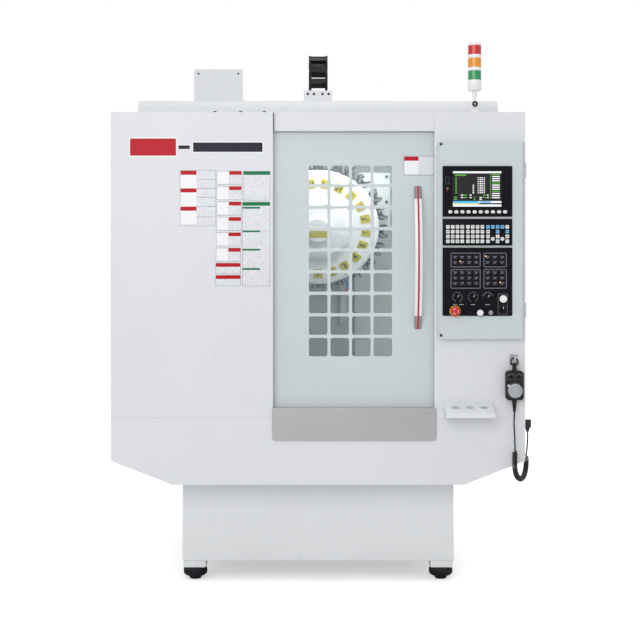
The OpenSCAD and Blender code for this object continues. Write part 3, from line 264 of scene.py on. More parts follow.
def effect_group(name, inputs):
    """An empty effect with its named inputs, each with a default, and its outputs."""
    tree = bpy.data.node_groups.new(name, "ShaderNodeTree")
    for label, value in inputs.items():
        kind = "NodeSocketColor" if isinstance(value, tuple) else "NodeSocketFloat"
        tree.interface.new_socket(label, in_out="INPUT", socket_type=kind).default_value = value
    for label, kind in (("Colour", "Color"), ("Roughness", "Float"), ("Height", "Float")):
        tree.interface.new_socket(label, in_out="OUTPUT", socket_type="NodeSocket" + kind)
    return tree, tree.nodes.new("NodeGroupInput").outputs, tree.nodes.new("NodeGroupOutput")


def scaled(tree, vector, factor):
    """A colour or a vector times a factor."""
    return shader_node(tree, "VectorMath", {0: vector, "Scale": factor}, operation="SCALE").outputs[0]


def coat_effect():
    """Colour that clouds a little, gathers dust on top and is scuffed, with its gloss and orange peel."""
    tree, given, out = effect_group(
        "coat",
        {
            "Colour": (0.8, 0.8, 0.8, 1), "Cloud": 0.04, "Dust": 0.1, "Scuff": 0.1, "Gloss": 0.45,
            "Peel": 900.0,
        },
    )
    place = object_place(tree)
    tint = spread(tree, noise(tree, place, 2.3, 5, 0.6), 0.25, 0.75, -1, 1)
    clouded = scaled(
        tree, given["Colour"], maths(tree, "ADD", maths(tree, "MULTIPLY", tint, given["Cloud"]), 1.0)
    )
    facing = shader_node(tree, "SeparateXYZ", {0: shader_node(tree, "NewGeometry").outputs["Normal"]})
    upwards = maths(tree, "MULTIPLY", facing.outputs["Z"], given["Dust"], clamp=True)
    dust = maths(tree, "MULTIPLY", upwards, noise(tree, place, 14, 6))
    dusty = mixed(tree, dust, clouded, srgb(150, 145, 136))
    upright = shader_node(tree, "Mapping", {"Vector": place, "Scale": (6, 6, 1.2)}).outputs[0]
    scuff = maths(tree, "MULTIPLY", spread(tree, noise(tree, upright, 9, 8), 0.62, 0.8), given["Scuff"])
    rough = maths(tree, "ADD", dust, given["Gloss"])
    fill(tree, out, {
        "Colour": mixed(tree, scuff, dusty, srgb(120, 122, 124)),
        "Roughness": maths(tree, "ADD", scuff, rough, clamp=True),
        "Height": noise(tree, place, given["Peel"], 2),
    })
    return tree


def finish_from(effect, name, values, bump, relief, metal, shine):
    """A material whose colour, roughness and relief come from an effect with its own values."""
    made, tree, shader = new_material(name)
    given = shader_node(tree, "Group", values, node_tree=effect).outputs
    sockets = {"Height": given["Height"], "Strength": bump, "Distance": relief}
    fill(tree, shader, {
        "Base Color": given["Colour"], "Roughness": given["Roughness"],
        "Normal": shader_node(tree, "Bump", sockets).outputs["Normal"], "Metallic": metal,
        "Specular IOR Level": shine,
    })
    return made


coat = coat_effect()


def coated(
    name, colour, gloss=0.45, peel=0.0004, cloud=0.02, dust=0.12, scuff=0.05, peel_scale=900.0, metal=0.0,
    shine=0.5,
):
    """A painted finish."""
    values = {"Cloud": cloud, "Dust": dust, "Scuff": scuff, "Gloss": gloss, "Peel": peel_scale}
    return finish_from(coat, name, {"Colour": srgb(*colour), **values}, 0.35, peel, metal, shine)


def plastic(name, colour, gloss=0.35, dust=0.0, **values):
    """A smooth moulded or enamelled finish, clean unless it says otherwise."""
    return coated(name, colour, gloss, peel=0.0001, dust=dust, **values)


def dress(finish, edge, *names):
    """Gives CAD nodes their finish, and rounds their edges a little where edge is set."""
    for name in names:
        owner = nodes[name]
        owner.data.materials.clear()
        owner.data.materials.append(finish)
        if edge:
            owner.modifiers.new("weld", "WELD").merge_threshold = 1e-5
            bevel = owner.modifiers.new("edge", "BEVEL")
            bevel.width, bevel.segments, bevel.limit_method = edge, 2, "ANGLE"
            bevel.angle_limit = math.radians(40)
            bevel.use_clamp_overlap = True


cover_white = coated("cover_white", (222, 224, 227), gloss=0.42)
dress(cover_white, 0.0015, "left_front_cover", "right_front_cover", "lower_front_cover", "header_cover")

# ---------------------------------------------------------------- header, gap shade and screws
# The header is a folded sheet over the door, and the left cover's right edge stands 2 mm off it. A black
# strip set in that gap is painted shade, for the dark deep inside it. Three black button-head screws hold
# the cover's top fold.


def corners_of(faces):
    """The corners of some faces, each once."""
    return list({corner for face in faces for corner in face.verts})


def moved(mesh, faces, *steps):
    """Moves faces that were made at the origin, by the last step first."""
    matrix = Matrix.Identity(4)
    for step in steps:
        matrix = matrix @ step
    bmesh.ops.transform(mesh, matrix=matrix, verts=corners_of(faces))


def shift(x, y, z):
    """A move along the axes."""
    return Matrix.Translation((x, y, z))


def turn(degrees, axis):
    """A turn about an axis."""
    return Matrix.Rotation(math.radians(degrees), 4, axis)


def about(middle, half):
    """The span that reaches as far to each side of its middle."""
    return middle - half, middle + half


def painted(faces, finish):
    """Marks faces with the number of their finish, and returns them."""
    for face in faces:
        face.material_index = finish
    return faces


def block(mesh, x, y, z, finish=0):
    """Adds a box with its span along each axis, and returns its faces."""
    spans = (x, y, z)
    size = Matrix.Diagonal((*[high - low for low, high in spans], 1))
    middle = shift(*[(low + high) / 2 for low, high in spans])
    made = bmesh.ops.create_cube(mesh, size=1, matrix=middle @ size)["verts"]
    return painted(list({face for corner in made for face in corner.link_faces}), finish)


def round_block(mesh, x, y, z, radius, along, segments, finish=0):
    """Adds a box whose edges along the named axes are rounded."""
    edges = []
    for edge in {edge for face in block(mesh, x, y, z, finish) for edge in face.edges}:
        run = (edge.verts[1].co - edge.verts[0].co).normalized()
        if any(abs(run["xyz".index(axis)]) > 0.9 for axis in along):
            edges.append(edge)
    bmesh.ops.bevel(
        mesh, geom=edges, offset=radius, offset_type="OFFSET", affect="EDGES", segments=segments, profile=0.5,
        material=-1, clamp_overlap=True,
    )


def turned(mesh, profile, place=(0, 0, 0), axis="z", steps=24, finish=0):
    """Spins (radius, height) points about z, or about y for what faces the front. Open ends are closed."""
    if profile[0] != profile[-1]:
        profile = [(0, profile[0][1]), *profile, (0, profile[-1][1])]
    first = [mesh.verts.new((radius, 0, height)) for radius, height in profile]
    line = [mesh.edges.new(pair) for pair in zip(first, first[1:])]
    before = set(mesh.faces)
    bmesh.ops.spin(
        mesh, geom=first + line, cent=(0, 0, 0), axis=(0, 0, 1), angle=2 * math.pi, steps=steps,
        use_merge=True, use_duplicate=False,
    )
    made = [face for face in mesh.faces if face not in before]
    bmesh.ops.remove_doubles(mesh, verts=corners_of(made), dist=1e-7)
    made = [face for face in mesh.faces if face not in before]
    moved(mesh, made, shift(*place), turn(90 if axis == "y" else 0, "X"))
    return painted(made, finish)


def prism(mesh, outline, span, axis="x", finish=0):
    """Extrudes a closed outline along an axis. Its points are given on the two axes that remain."""
    ring = []
    for level in span:
        for point in outline:
            place = list(point)
            place.insert("xyz".index(axis), level)
            ring.append(mesh.verts.new(place))
    count = len(outline)
    faces = [mesh.faces.new(ring[:count]), mesh.faces.new(ring[count:])]
    for i in range(count):
        j = (i + 1) % count
        faces.append(mesh.faces.new((ring[i], ring[j], ring[count + j], ring[count + i])))
    bmesh.ops.recalc_face_normals(mesh, faces=faces)
    return painted(faces, finish)


cover_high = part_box("left_front_cover")[1]
seam_z, sheet = 1.927, 0.002
header_low, header_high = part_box("header_cover")
header_mesh = bmesh.new()
prism(
    header_mesh,
    [
        (header_low.y, header_high.z), (header_low.y, seam_z), (header_high.y, seam_z),
        (header_high.y, seam_z + sheet), (header_low.y + sheet, seam_z + sheet),
        (header_low.y + sheet, header_high.z - sheet), (header_high.y, header_high.z - sheet), header_high.yz,
    ],
    (header_low.x, header_high.x),
)
header = piece("header", header_mesh, "frame", cover_white)
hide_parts("header_cover")
# Painted shade: a black strip set 1 mm deep in the gap between the left cover and the header, for the gap's
# dark depth
gap_shade_black = coated("gap_shade_black", (38, 40, 43), gloss=0.7)
gap_shade_mesh = bmesh.new()
gap_shade_depth = front_y + 0.001, front_y + 0.014
block(gap_shade_mesh, about(cover_high.x + sheet / 2, sheet), gap_shade_depth, (seam_z, cover_high.z - sheet))
piece("cover_gap_shade", gap_shade_mesh, "frame", gap_shade_black)

black_steel = coated("black_steel", (28, 28, 30), dust=0.0, gloss=0.35)
screw_mesh = bmesh.new()
button_head = [
    (0, 0.006), (0.0035, 0.006), (0.0035, 0.0035), (0.0045, 0.006), (0.0065, 0.005), (0.0075, 0.0025),
    (0.0075, 0),
]
for x in (-0.4335, -0.3255, -0.225):
    turned(screw_mesh, button_head, (x, front_y + 0.016, cover_high.z), steps=20)
piece("cover_screws", screw_mesh, "frame", black_steel, smooth=40)

# ---------------------------------------------------------------- plates on the left cover
# A plain enamelled badge with a dark trim strip, and printed vinyl plates with coloured heads and ruled
# lines. They carry no name, word or sign, and are stuck on.

enamel_red = plastic("enamel_red", (188, 22, 38), gloss=0.25, shine=0.15)
enamel_white = plastic("enamel_white", (240, 241, 243), gloss=0.3)
trim_dark = plastic("trim_dark", (40, 40, 54), shine=0.15)
vinyl_green = plastic("vinyl_green", (14, 120, 76), gloss=0.3, shine=0.15)
vinyl_grey = plastic("vinyl_grey", (118, 120, 134))

# Vinyl with rows of small marks, as a page of small print looks from a step away
page_fine, tree, shader = new_material("page_fine")
page, ink, row_height = (236, 238, 241), (150, 152, 166), 0.0042
faded = [(3 * dark + 2 * light) / 5 for dark, light in zip(ink, page)]
place = shader_node(tree, "SeparateXYZ", {0: object_place(tree)}).outputs
flat = shader_node(tree, "CombineXYZ", {"X": place["X"], "Y": place["Z"]}).outputs[0]
rows = shader_node(
    tree, "TexBrick",
    {
        "Vector": flat, "Color1": srgb(*ink), "Color2": srgb(*faded), "Mortar": srgb(*page), "Scale": 1.0,
        "Mortar Size": row_height * 0.24, "Mortar Smooth": 0.1, "Brick Width": 0.011,
        "Row Height": row_height,
    },
    offset=0.37, squash=0.7, squash_frequency=3,
)
gaps = spread(tree, noise(tree, flat, 1.1 / row_height, 1), 0.5, 0.56)
fill(tree, shader, {"Base Color": mixed(tree, gaps, rows.outputs["Color"], srgb(*page)), "Roughness": 0.3})


def front_plates(name, parts, face, body, *finishes):
    """Thin plates on a front face, each with its left, right, top and bottom edge, lift and finish."""
    mesh = bmesh.new()
    for left, right, upper, lower, lift, finish in parts:
        spans = (left, right), (face - lift, face + 0.0002), (lower, upper)
        if min(right - left, upper - lower) > 0.008:
            round_block(mesh, *spans, 0.0018, "y", 2, finish)
        else:
            block(mesh, *spans, finish)
    piece(name, mesh, body, *finishes)


badge = [
    (-0.794, -0.591, 1.900, 1.816, 0.0006, 0), (-0.789, -0.596, 1.894, 1.822, 0.0010, 1),
    (-0.590, -0.533, 1.869, 1.847, 0.0006, 0), (-0.586, -0.538, 1.865, 1.850, 0.0012, 2),
    (-0.528, -0.229, 1.881, 1.834, 0.0006, 0), (-0.524, -0.233, 1.877, 1.838, 0.0012, 2),
]
front_plates("badge", badge, front_y, "frame", enamel_white, enamel_red, trim_dark)

plates = []
white, red, green = 2, 3, 4


def print_plate(left, right, upper, lower, heads, rules=()):
    """A printed plate with a grey edge, its heads as (left, right, top, bottom, finish) and its rules."""
    plates.append((left, right, upper, lower, 0.0004, 1))
    plates.append((left + 0.0012, right - 0.0012, upper - 0.0012, lower + 0.0012, 0.0006, 0))
    plates.extend((a, b, c, d, 0.0008, finish) for a, b, c, d, finish in heads)
    plates.extend((a, b, c + 0.0007, c - 0.0007, 0.0007, 1) for a, b, c in rules)


tall_left, tall_right = -0.579, -0.429
head_left, head_right = tall_left + 0.002, tall_left + 0.069
print_plate(
    tall_left, tall_right, 1.7605, 1.5265,
    [(head_left, head_right, z, z - 0.017, red) for z in (1.7590, 1.6845, 1.6080)]
    + [(head_left, head_right, z, z - 0.056, white) for z in (1.7410, 1.6665, 1.5900)],
    [(head_right + 0.002, tall_right, z) for z in (1.723, 1.6845, 1.647, 1.608, 1.565)],
)
for i in range(6):
    upper, left = 1.758 - i * 0.0646, -0.4245 - i * 0.0008
    print_plate(
        left, left + 0.1055, upper, upper - 0.057,
        [
            (left + 0.052, left + 0.1035, upper - 0.001, upper - 0.016, red),
            (left + 0.002, left + 0.050, upper - 0.002, upper - 0.055, white),
        ],
    )
for upper in (1.3715, 1.3205):
    print_plate(-0.430, -0.3245, upper, upper - 0.046, [(-0.429, -0.3255, upper - 0.001, upper - 0.016, red)])
print_plate(-0.314, -0.2005, 1.757, 1.6345, [(-0.313, -0.2015, 1.756, 1.7415, green)])
print_plate(
    -0.3175, -0.2015, 1.6275, 1.274,
    [(-0.3165, -0.2025, 1.6265, 1.612, green)]
    + [(-0.3165, -0.243, z, z - 0.0075, green) for z in (1.607, 1.508, 1.431, 1.350)],
)
front_plates(
    "printed_plates", plates, front_y, "frame", page_fine, vinyl_grey, enamel_white, enamel_red, vinyl_green
)

# ---------------------------------------------------------------- sliding door
# A folded pan in blue-grey powder coat with thirty-six punched windows, hung on two hangers in the tracks.
# A polycarbonate pane is glued behind the windows, and one plain printed plate is stuck on in front.

door_blue_grey = coated("door_blue_grey", (203, 211, 214), gloss=0.4)
dress(door_blue_grey, 0.0012, "door_panel")
door_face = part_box("door_panel")[0].y

pane_clear, tree, shader = new_material("pane_clear")
fill(tree, shader, {
    "Base Color": srgb(206, 226, 226), "Roughness": 0.04,
    "Alpha": spread(tree, noise(tree, object_place(tree), 7, 6), 0.3, 0.75, 0.07, 0.13),
})
dress(pane_clear, 0, "window_pane")

plates = [
    (0.3622, 0.4899, 1.824, 1.7426, 0.0004, 1), (0.3634, 0.4887, 1.8228, 1.7438, 0.0006, 0),
    (0.3640, 0.4240, 1.8215, 1.8040, 0.0008, 3), (0.3640, 0.4240, 1.8020, 1.7450, 0.0008, 2),
]
front_plates("door_plate", plates, door_face, "door", page_fine, vinyl_grey, enamel_white, enamel_red)

# ---------------------------------------------------------------- door handle
# A bowed aluminium strip, painted white, with a red inlay down its middle and bare satin ends that are
# screwed to the door from behind.

bow_low, bow_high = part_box("door_handle")
bow_middle = (bow_low + bow_high) / 2
bow_rise, bow_reach = door_face - bow_low.y, (bow_high.z - bow_low.z) / 2
bow_radius = (bow_reach**2 + bow_rise**2) / (2 * bow_rise)
bow_angle = math.asin(bow_reach / bow_radius)
bow_half, bow_depth, paint_end = (bow_high.x - bow_low.x) / 2, 0.018, 0.245
handle_white = plastic("handle_white", (238, 239, 240), gloss=0.22)
satin_alloy = plastic("satin_alloy", (150, 152, 154), gloss=0.34, metal=0.6)
inlay_red = plastic("inlay_red", (186, 28, 44), gloss=0.3)


def bow(mesh, outline, finish_at, steps=72):
    """Sweeps an outline of (sideways, depth under the crown) points along the handle's bow."""
    centre = Vector((bow_middle.x, bow_low.y + bow_radius, bow_middle.z))
    ring = [mesh.verts.new((bow_middle.x + side, bow_low.y + under, bow_middle.z)) for side, under in outline]
    edges = [mesh.edges.new(pair) for pair in zip(ring, ring[1:] + ring[:1])]
    bmesh.ops.rotate(mesh, verts=ring, cent=centre, matrix=Matrix.Rotation(-bow_angle, 3, "X"))
    before = set(mesh.faces)
    mesh.faces.new(ring)
    swept = bmesh.ops.spin(
        mesh, geom=ring + edges, cent=centre, axis=(1, 0, 0), angle=2 * bow_angle, steps=steps,
        use_merge=False, use_duplicate=False,
    )
    mesh.faces.new([item for item in swept["geom_last"] if isinstance(item, bmesh.types.BMVert)])
    for face in mesh.faces:
        if face not in before:
            face.material_index = finish_at(abs(face.calc_center_median().z - bow_middle.z))


half_outline = [
    (-bow_half, 0.006), (-bow_half + 0.001, 0.0028), (-bow_half + 0.004, 0.0008), (-0.0042, 0.0004),
    (-0.0042, 0.0022),
]
half_back = [
    (bow_half, bow_depth - 0.004), (bow_half - 0.003, bow_depth - 0.001), (bow_half - 0.008, bow_depth),
]
bow_mesh = bmesh.new()
bow(
    bow_mesh,
    half_outline + [(-side, under) for side, under in reversed(half_outline)]
    + half_back + [(-side, under) for side, under in reversed(half_back)],
    lambda height: 1 if height > paint_end else 0,
)
bow(bow_mesh, [(-0.0036, 0.001), (0.0036, 0.001), (0.0036, 0.0028), (-0.0036, 0.0028)], lambda height: 2)
handle = piece(
    "handle", bow_mesh, "door", handle_white, satin_alloy, inlay_red, slot="handle_paint", smooth=35
)
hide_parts("door_handle")

# ---------------------------------------------------------------- sill apron
# A brushed stainless sheet under the door, where paint would soon wear. It is grained along its width and
# fixed to the cover from behind.


def brushed_effect():
    """Fine parallel scratches with their sheen and relief, drawn out along the smaller Along value."""
    tree, given, out = effect_group(
        "brushed",
        {"Colour": (0.5, 0.5, 0.5, 1), "Along X": 1.0, "Along Z": 60.0, "Gloss": 0.3, "Depth": 0.15},
    )
    place = object_place(tree)
    sockets = {"X": given["Along X"], "Y": 60.0, "Z": given["Along Z"]}
    stretch = shader_node(tree, "CombineXYZ", sockets).outputs[0]
    along = shader_node(tree, "VectorMath", {0: place, 1: stretch}, operation="MULTIPLY").outputs[0]
    lines = noise(tree, along, 12, 8, 0.7)
    deep = maths(tree, "MULTIPLY", maths(tree, "MULTIPLY", lines, noise(tree, place, 5, 4)), given["Depth"])
    fill(tree, out, {
        "Colour": scaled(tree, given["Colour"], spread(tree, lines, 0.3, 0.7, 0.9, 1.1)),
        "Roughness": maths(tree, "ADD", deep, given["Gloss"], clamp=True), "Height": lines,
    })
    return tree


brushed = brushed_effect()


def metal(name, colour, gloss=0.3, along_x=1.0, along_z=60.0):
    """A bare metal finish with fine scratches."""
    values = {"Along X": along_x, "Along Z": along_z, "Gloss": gloss, "Depth": 0.15}
    return finish_from(brushed, name, {"Colour": srgb(*colour), **values}, 0.3, 0.00015, 1.0, 0.5)


stainless = metal("stainless", (186, 186, 188), gloss=0.34)
dress(stainless, 0.0008, "sill_apron")

# ---------------------------------------------------------------- tool turret
# A white moulded cover over twenty-one sprung grippers on a cast hub. Each place has a yellow plate with its
# number, screwed to the cover, the digits' tops towards the axle.

turret_y, turret_z, turret_lean = front_y + 0.42, 1.53, 23
turret_place = shift(0, turret_y, turret_z) @ turn(90 + turret_lean, "X")
turret_places, plate_r, digit_size = 21, 0.217, 0.034
moulded_white = coated("moulded_white", (236, 238, 240), gloss=0.35, dust=0.03)
plate_yellow = coated(
    "plate_yellow", (186, 172, 2), gloss=0.45, cloud=0.06, dust=0.0, scuff=0.2, shine=0.1
)
gripper_steel = coated("gripper_steel", (58, 62, 66), gloss=0.35, metal=0.7, cloud=0.1)
digit_ink = coated("digit_ink", (12, 12, 10), gloss=0.5, dust=0.0, shine=0.1)
dress(moulded_white, 0.001, "turret_cover")
dress(gripper_steel, 0.0008, "gripper_ring")
dress(plate_yellow, 0.0003, "number_plates")


def turret_turn(place):
    """Where one of the turret's places lies, its outward way along x."""
    return turret_place @ turn(-90 + place * 360 / turret_places, "Z")


digit_mesh = bmesh.new()
for place in range(turret_places):
    digits = bpy.data.curves.new("digits", "FONT")
    digits.body = str(place + 1)
    digits.size, digits.extrude, digits.offset = digit_size, 0.0002, 0.0013
    digits.align_x = digits.align_y = "CENTER"
    sign = bpy.data.objects.new("digits", digits)
    flat = bpy.data.meshes.new_from_object(sign)
    bpy.data.objects.remove(sign)
    flat.transform(turret_turn(place) @ shift(plate_r, 0, 0.0016) @ turn(90, "Z"))
    digit_mesh.from_mesh(flat)
piece("plate_digits", digit_mesh, "turret", digit_ink)
hub_mesh = bmesh.new()
round_block(hub_mesh, about(0, 0.041), (-0.034, -0.002), (0.0199, 0.0208), 0.003, "z", 3)
moved(hub_mesh, hub_mesh.faces, turret_place)
piece("hub_plate", hub_mesh, "turret", plate_yellow)

# Spring levers of the grippers: each pair runs from its pivot bolts to the tips of the two horns
lever_mesh = bmesh.new()
lever_r, lever_low, lever_high = 0.005, -0.0219, -0.018
for place in range(turret_places):
    for side in (-1, 1):
        pivot, tip = Vector((0.2805, side * 0.012)), Vector((0.312, side * 0.025))
        along = (tip - pivot).normalized() * lever_r
        across = Vector((-along.y, along.x))
        outline = [
            (middle + math.cos(angle) * along + math.sin(angle) * across)[:]
            for middle, start in ((tip, -90), (pivot, 90))
            for angle in [math.radians(start + k * 30) for k in range(7)]
        ]
        made = prism(lever_mesh, outline, (lever_low, lever_high), axis="z")
        made += turned(
            lever_mesh, [(0.0035, 0.002), (0.0040, 0.0015), (0.0040, 0)], (*pivot, lever_high - 0.0002),
            steps=16, finish=1,
        )
        moved(lever_mesh, made, turret_turn(place))
piece("gripper_levers", lever_mesh, "turret", satin_alloy, black_steel, smooth=35)

# ---------------------------------------------------------------- console's pan
# A bevelled pan in the door's blue-grey, hinged at its right edge and held by two quarter-turn latches. It
# carries the display, the keyboard and the operator panel, each a black unit behind its own opening.

pan_low, pan_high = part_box("console_panel")
pan_right, pan_bevel, pan_wall = pan_low.x + 0.364, 0.012, 0.002
hinge_x, hinge_y, hinge_half, hinge_inset = pan_right + 0.0055, front_y - 0.0065, 0.030, 0.120
knuckle_r, knuckle_l = 0.005, 0.0197
unit_left, unit_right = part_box("display_unit")[0].x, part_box("display_unit")[1].x
unit_lip = 0.003
unit_spans = [
    (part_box(name)[0].z + unit_lip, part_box(name)[1].z - unit_lip)
    for name in ("operator_panel", "keyboard_unit", "display_unit")
]


def cut(mesh, place, normal, drop=False):
    """Cuts a mesh at a plane. With drop, what lies past the plane goes and the cut is closed."""
    made = bmesh.ops.bisect_plane(
        mesh, geom=mesh.verts[:] + mesh.edges[:] + mesh.faces[:], dist=1e-6, plane_co=place, plane_no=normal,
        clear_outer=drop,
    )["geom_cut"]
    if drop:
        bmesh.ops.edgeloop_fill(mesh, edges=[part for part in made if isinstance(part, bmesh.types.BMEdge)])


pan_mesh = bmesh.new()
prism(
    pan_mesh,
    [
        (pan_low.x, pan_high.y), (pan_low.x, pan_low.y + pan_bevel), (pan_low.x + pan_bevel, pan_low.y),
        (pan_right - pan_bevel, pan_low.y), (pan_right, pan_low.y + pan_bevel), (pan_right, pan_high.y),
    ],
    (pan_low.z, pan_high.z), axis="z",
)
for x, side in ((pan_low.x, -1), (pan_right, 1)):
    for z, up in ((pan_low.z, -1), (pan_high.z, 1)):
        cut(pan_mesh, (x, pan_low.y, z - up * pan_bevel), (side, 0, up), drop=True)
bmesh.ops.delete(pan_mesh, geom=[face for face in pan_mesh.faces if face.normal.y > 0.99], context="FACES")
for x in (unit_left + unit_lip, unit_right - unit_lip):
    cut(pan_mesh, (x, 0, 0), (1, 0, 0))
for z in [edge for span in unit_spans for edge in span]:
    cut(pan_mesh, (0, 0, z), (0, 0, 1))
openings = []
for face in pan_mesh.faces:
    middle = face.calc_center_median()
    across = unit_left + unit_lip < middle.x < unit_right - unit_lip
    if face.normal.y < -0.99 and across and any(low < middle.z < high for low, high in unit_spans):
        openings.append(face)
bmesh.ops.delete(pan_mesh, geom=openings, context="FACES")
bmesh.ops.dissolve_limit(pan_mesh, angle_limit=0.01, verts=pan_mesh.verts[:], edges=pan_mesh.edges[:])
bmesh.ops.solidify(pan_mesh, geom=pan_mesh.faces[:], thickness=pan_wall)
for middle in (pan_low.z + hinge_inset, pan_high.z - hinge_inset):
    for low in (middle - hinge_half, middle + hinge_half - knuckle_l):
        turned(pan_mesh, [(knuckle_r, 0), (knuckle_r, knuckle_l)], (hinge_x, hinge_y, low))
        block(pan_mesh, (pan_right - 0.001, hinge_x), about(hinge_y, 0.0015), (low, low + knuckle_l))
console_pan = piece("console_pan", pan_mesh, "console", door_blue_grey)
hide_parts("console_panel")
latch_mesh = bmesh.new()
latch_dome = [(0, 0.0042), (0.0030, 0.0042), (0.0048, 0.0034), (0.0058, 0.0016), (0.0062, 0)]
for height in (pan_high.z - 0.013, pan_low.z + 0.015):
    turned(latch_mesh, latch_dome, (pan_low.x + 0.0145, pan_low.y + 0.0004, height), axis="y")
piece("console_latches", latch_mesh, "console", black_steel, smooth=40)

# ---------------------------------------------------------------- keyboard and display
# Black moulded units. The keyboard has 48 dished keys, two of them round, each with a dark bar for its sign.
# The display has a liquid-crystal panel behind its frame and ten soft keys under it.

unit_black = coated("unit_black", (21, 21, 26), gloss=0.4, peel=0.0002, dust=0.02, shine=0.08)
key_white = plastic("key_white", (232, 233, 234), gloss=0.4)
key_blue = plastic("key_blue", (112, 182, 224), gloss=0.4)
legend_grey = plastic("legend_grey", (150, 152, 166), gloss=0.5, shine=0.1)
legend_dark = plastic("legend_dark", (70, 72, 78), gloss=0.5)
unit_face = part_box("display_unit")[0].y + 0.002
dress(unit_black, 0.0004, "display_unit", "operator_panel")


def paint_faces(name, finish, chosen):
    """Gives the faces of a CAD node whose middle is chosen a further finish."""
    owner = nodes[name]
    owner.data.materials.append(finish)
    painted([face for face in owner.data.polygons if chosen(face.center)], len(owner.data.materials) - 1)


paint_faces("display_unit", key_white, lambda at: at.y < unit_face - 0.0002)

keyboard_low, keyboard_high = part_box("keyboard_unit")
key_gap, block_gap, key_side, key_proud, unit_wall = 0.0200, 0.0036, 0.0145, 0.003, 0.0035
blue_keys = [(8, 0), (9, 0), (10, 0), (11, 0), (10, 1), (12, 1)]
first_x, first_z, round_row = unit_left + 0.0215, keyboard_high.z - 0.0336, 2.5
key_places = {}
for column in range(13):
    for row in (0, round_row) if column in (9, 11) else range(4):
        x = first_x + column * key_gap + min(column // 4, 2) * block_gap
        key_places[column, row] = x, first_z - row * key_gap
round_key = [
    (0, key_proud - 0.0005), (0.0062, key_proud - 0.0003), (0.0074, key_proud), (0.008, key_proud - 0.0006),
    (0.008, -0.0005),
]
keyboard_mesh, mark_mesh = bmesh.new(), bmesh.new()
round_block(
    keyboard_mesh, (unit_left, unit_right), (unit_face, pan_low.y), (keyboard_low.z, keyboard_high.z), 0.0006,
    "xyz", 2,
)
block(
    keyboard_mesh, (unit_left + unit_wall, unit_right - unit_wall), (pan_low.y - 0.001, keyboard_high.y),
    (keyboard_low.z + unit_wall, keyboard_high.z - unit_wall),
)
for (column, row), (x, z) in key_places.items():
    half_mark = 0.0018 + 0.0011 * ((column * 5 + row * 3) % 4)
    if row == round_row:
        turned(keyboard_mesh, round_key, (x, unit_face, z), axis="y", steps=32, finish=1)
        half_mark = 0.0045
    else:
        before = set(keyboard_mesh.faces)
        round_block(
            keyboard_mesh, about(x, key_side / 2), (unit_face - key_proud, unit_face + 0.0005),
            about(z, key_side / 2), 0.002, "y", 3, 2 if (column, row) in blue_keys else 1,
        )
        made = [face for face in keyboard_mesh.faces if face not in before]
        front = min(made, key=lambda face: face.calc_center_median().y)
        bmesh.ops.inset_region(keyboard_mesh, faces=[front], thickness=0.0011, depth=-0.0005)
    block(mark_mesh, about(x, half_mark), about(unit_face - key_proud, 0.0002), about(z, 0.0012))
keyboard = piece("keyboard", keyboard_mesh, "console", unit_black, key_white, key_blue, smooth=30)
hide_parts("keyboard_unit")
piece("key_marks", mark_mesh, "console", legend_dark)


def glowing(name, colour, strength):
    """A lit colour under clear plastic."""
    made, tree, shader = new_material(name)
    grain = noise(tree, object_place(tree), 420, 1)
    lit = mixed(tree, grain, srgb(*colour), srgb(*[value * 0.9 for value in colour]))
    fill(tree, shader, {
        "Emission Color": lit, "Base Color": lit, "Emission Strength": strength, "Roughness": 0.3,
    })
    return made


# Screen: rows of plain bars, each as (left, right, top, bottom, finish) from its upper left corner
screen_black = plastic("screen_black", (12, 14, 14), gloss=0.2, scuff=0.0)
lit_white, lit_green = glowing("lit_white", (226, 230, 232), 0.5), glowing("lit_green", (84, 160, 56), 0.45)
lit_cyan, lit_sand = glowing("lit_cyan", (60, 176, 226), 0.5), glowing("lit_sand", (235, 225, 150), 0.5)
display_low, display_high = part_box("display_unit")
screen_left, screen_top, screen_back = unit_left + 0.042, display_high.z - 0.021, unit_face + 0.0019
screen_w, screen_h, margin, bar_h = 0.204, 0.149, 0.001, 0.0042
bars = [
    (0, screen_w, 0, screen_h, 0), (margin, screen_w - margin, 0.001, 0.009, 1),
    (margin, 0.108, 0.125, 0.133, 3), (0.108, screen_w - margin, 0.125, 0.133, 1),
    (0.112, 0.160, 0.126, 0.132, 3), (margin, 0.108, 0.134, 0.138, 4),
    (margin, screen_w - margin, 0.139, 0.148, 1), (0.010, 0.056, 0.014, 0.020, 2),
]
for row in range(9):
    drop = 0.026 + row * 0.0078
    bars.append((0.011, 0.017, drop, drop + 0.0045, 2))
    for column, width in ((0.083, 0.006), (0.104, 0.004), (0.112, 0.008), (0.122, 0.005), (0.130, 0.004)):
        if row > 3 or column > 0.1:
            bars.append((column, column + width, drop, drop + bar_h, 1))
for row in range(12):
    drop = 0.012 + row * 0.0088
    bars.append((0.164, 0.196, drop, drop + 0.0045, 2 if row in (0, 4, 8) else 1))
    bars.append((0.156, 0.159, drop, drop + 0.006, 2))
for row, drop in enumerate((0.098, 0.108, 0.116)):
    for column, width, finish in (
        (0.004, 0.014, 2), (0.034, 0.010, 1), (0.046, 0.014, 2), (0.070, 0.009, 1), (0.088, 0.006, 2),
        (0.112, 0.010, 1), (0.126, 0.012, 2), (0.142, 0.008, 1),
    ):
        if (row + round(column * 1000)) % 4:
            bars.append((column, column + width, drop, drop + bar_h, finish))
screen_mesh = bmesh.new()
for left, right, high, low, finish in bars:
    lift = 0.0006 if finish else 0.0004
    across, up = (screen_left + left, screen_left + right), (screen_top - low, screen_top - high)
    block(screen_mesh, across, (screen_back - lift, screen_back), up, finish)
piece("screen", screen_mesh, "console", screen_black, lit_white, lit_green, lit_cyan, lit_sand)

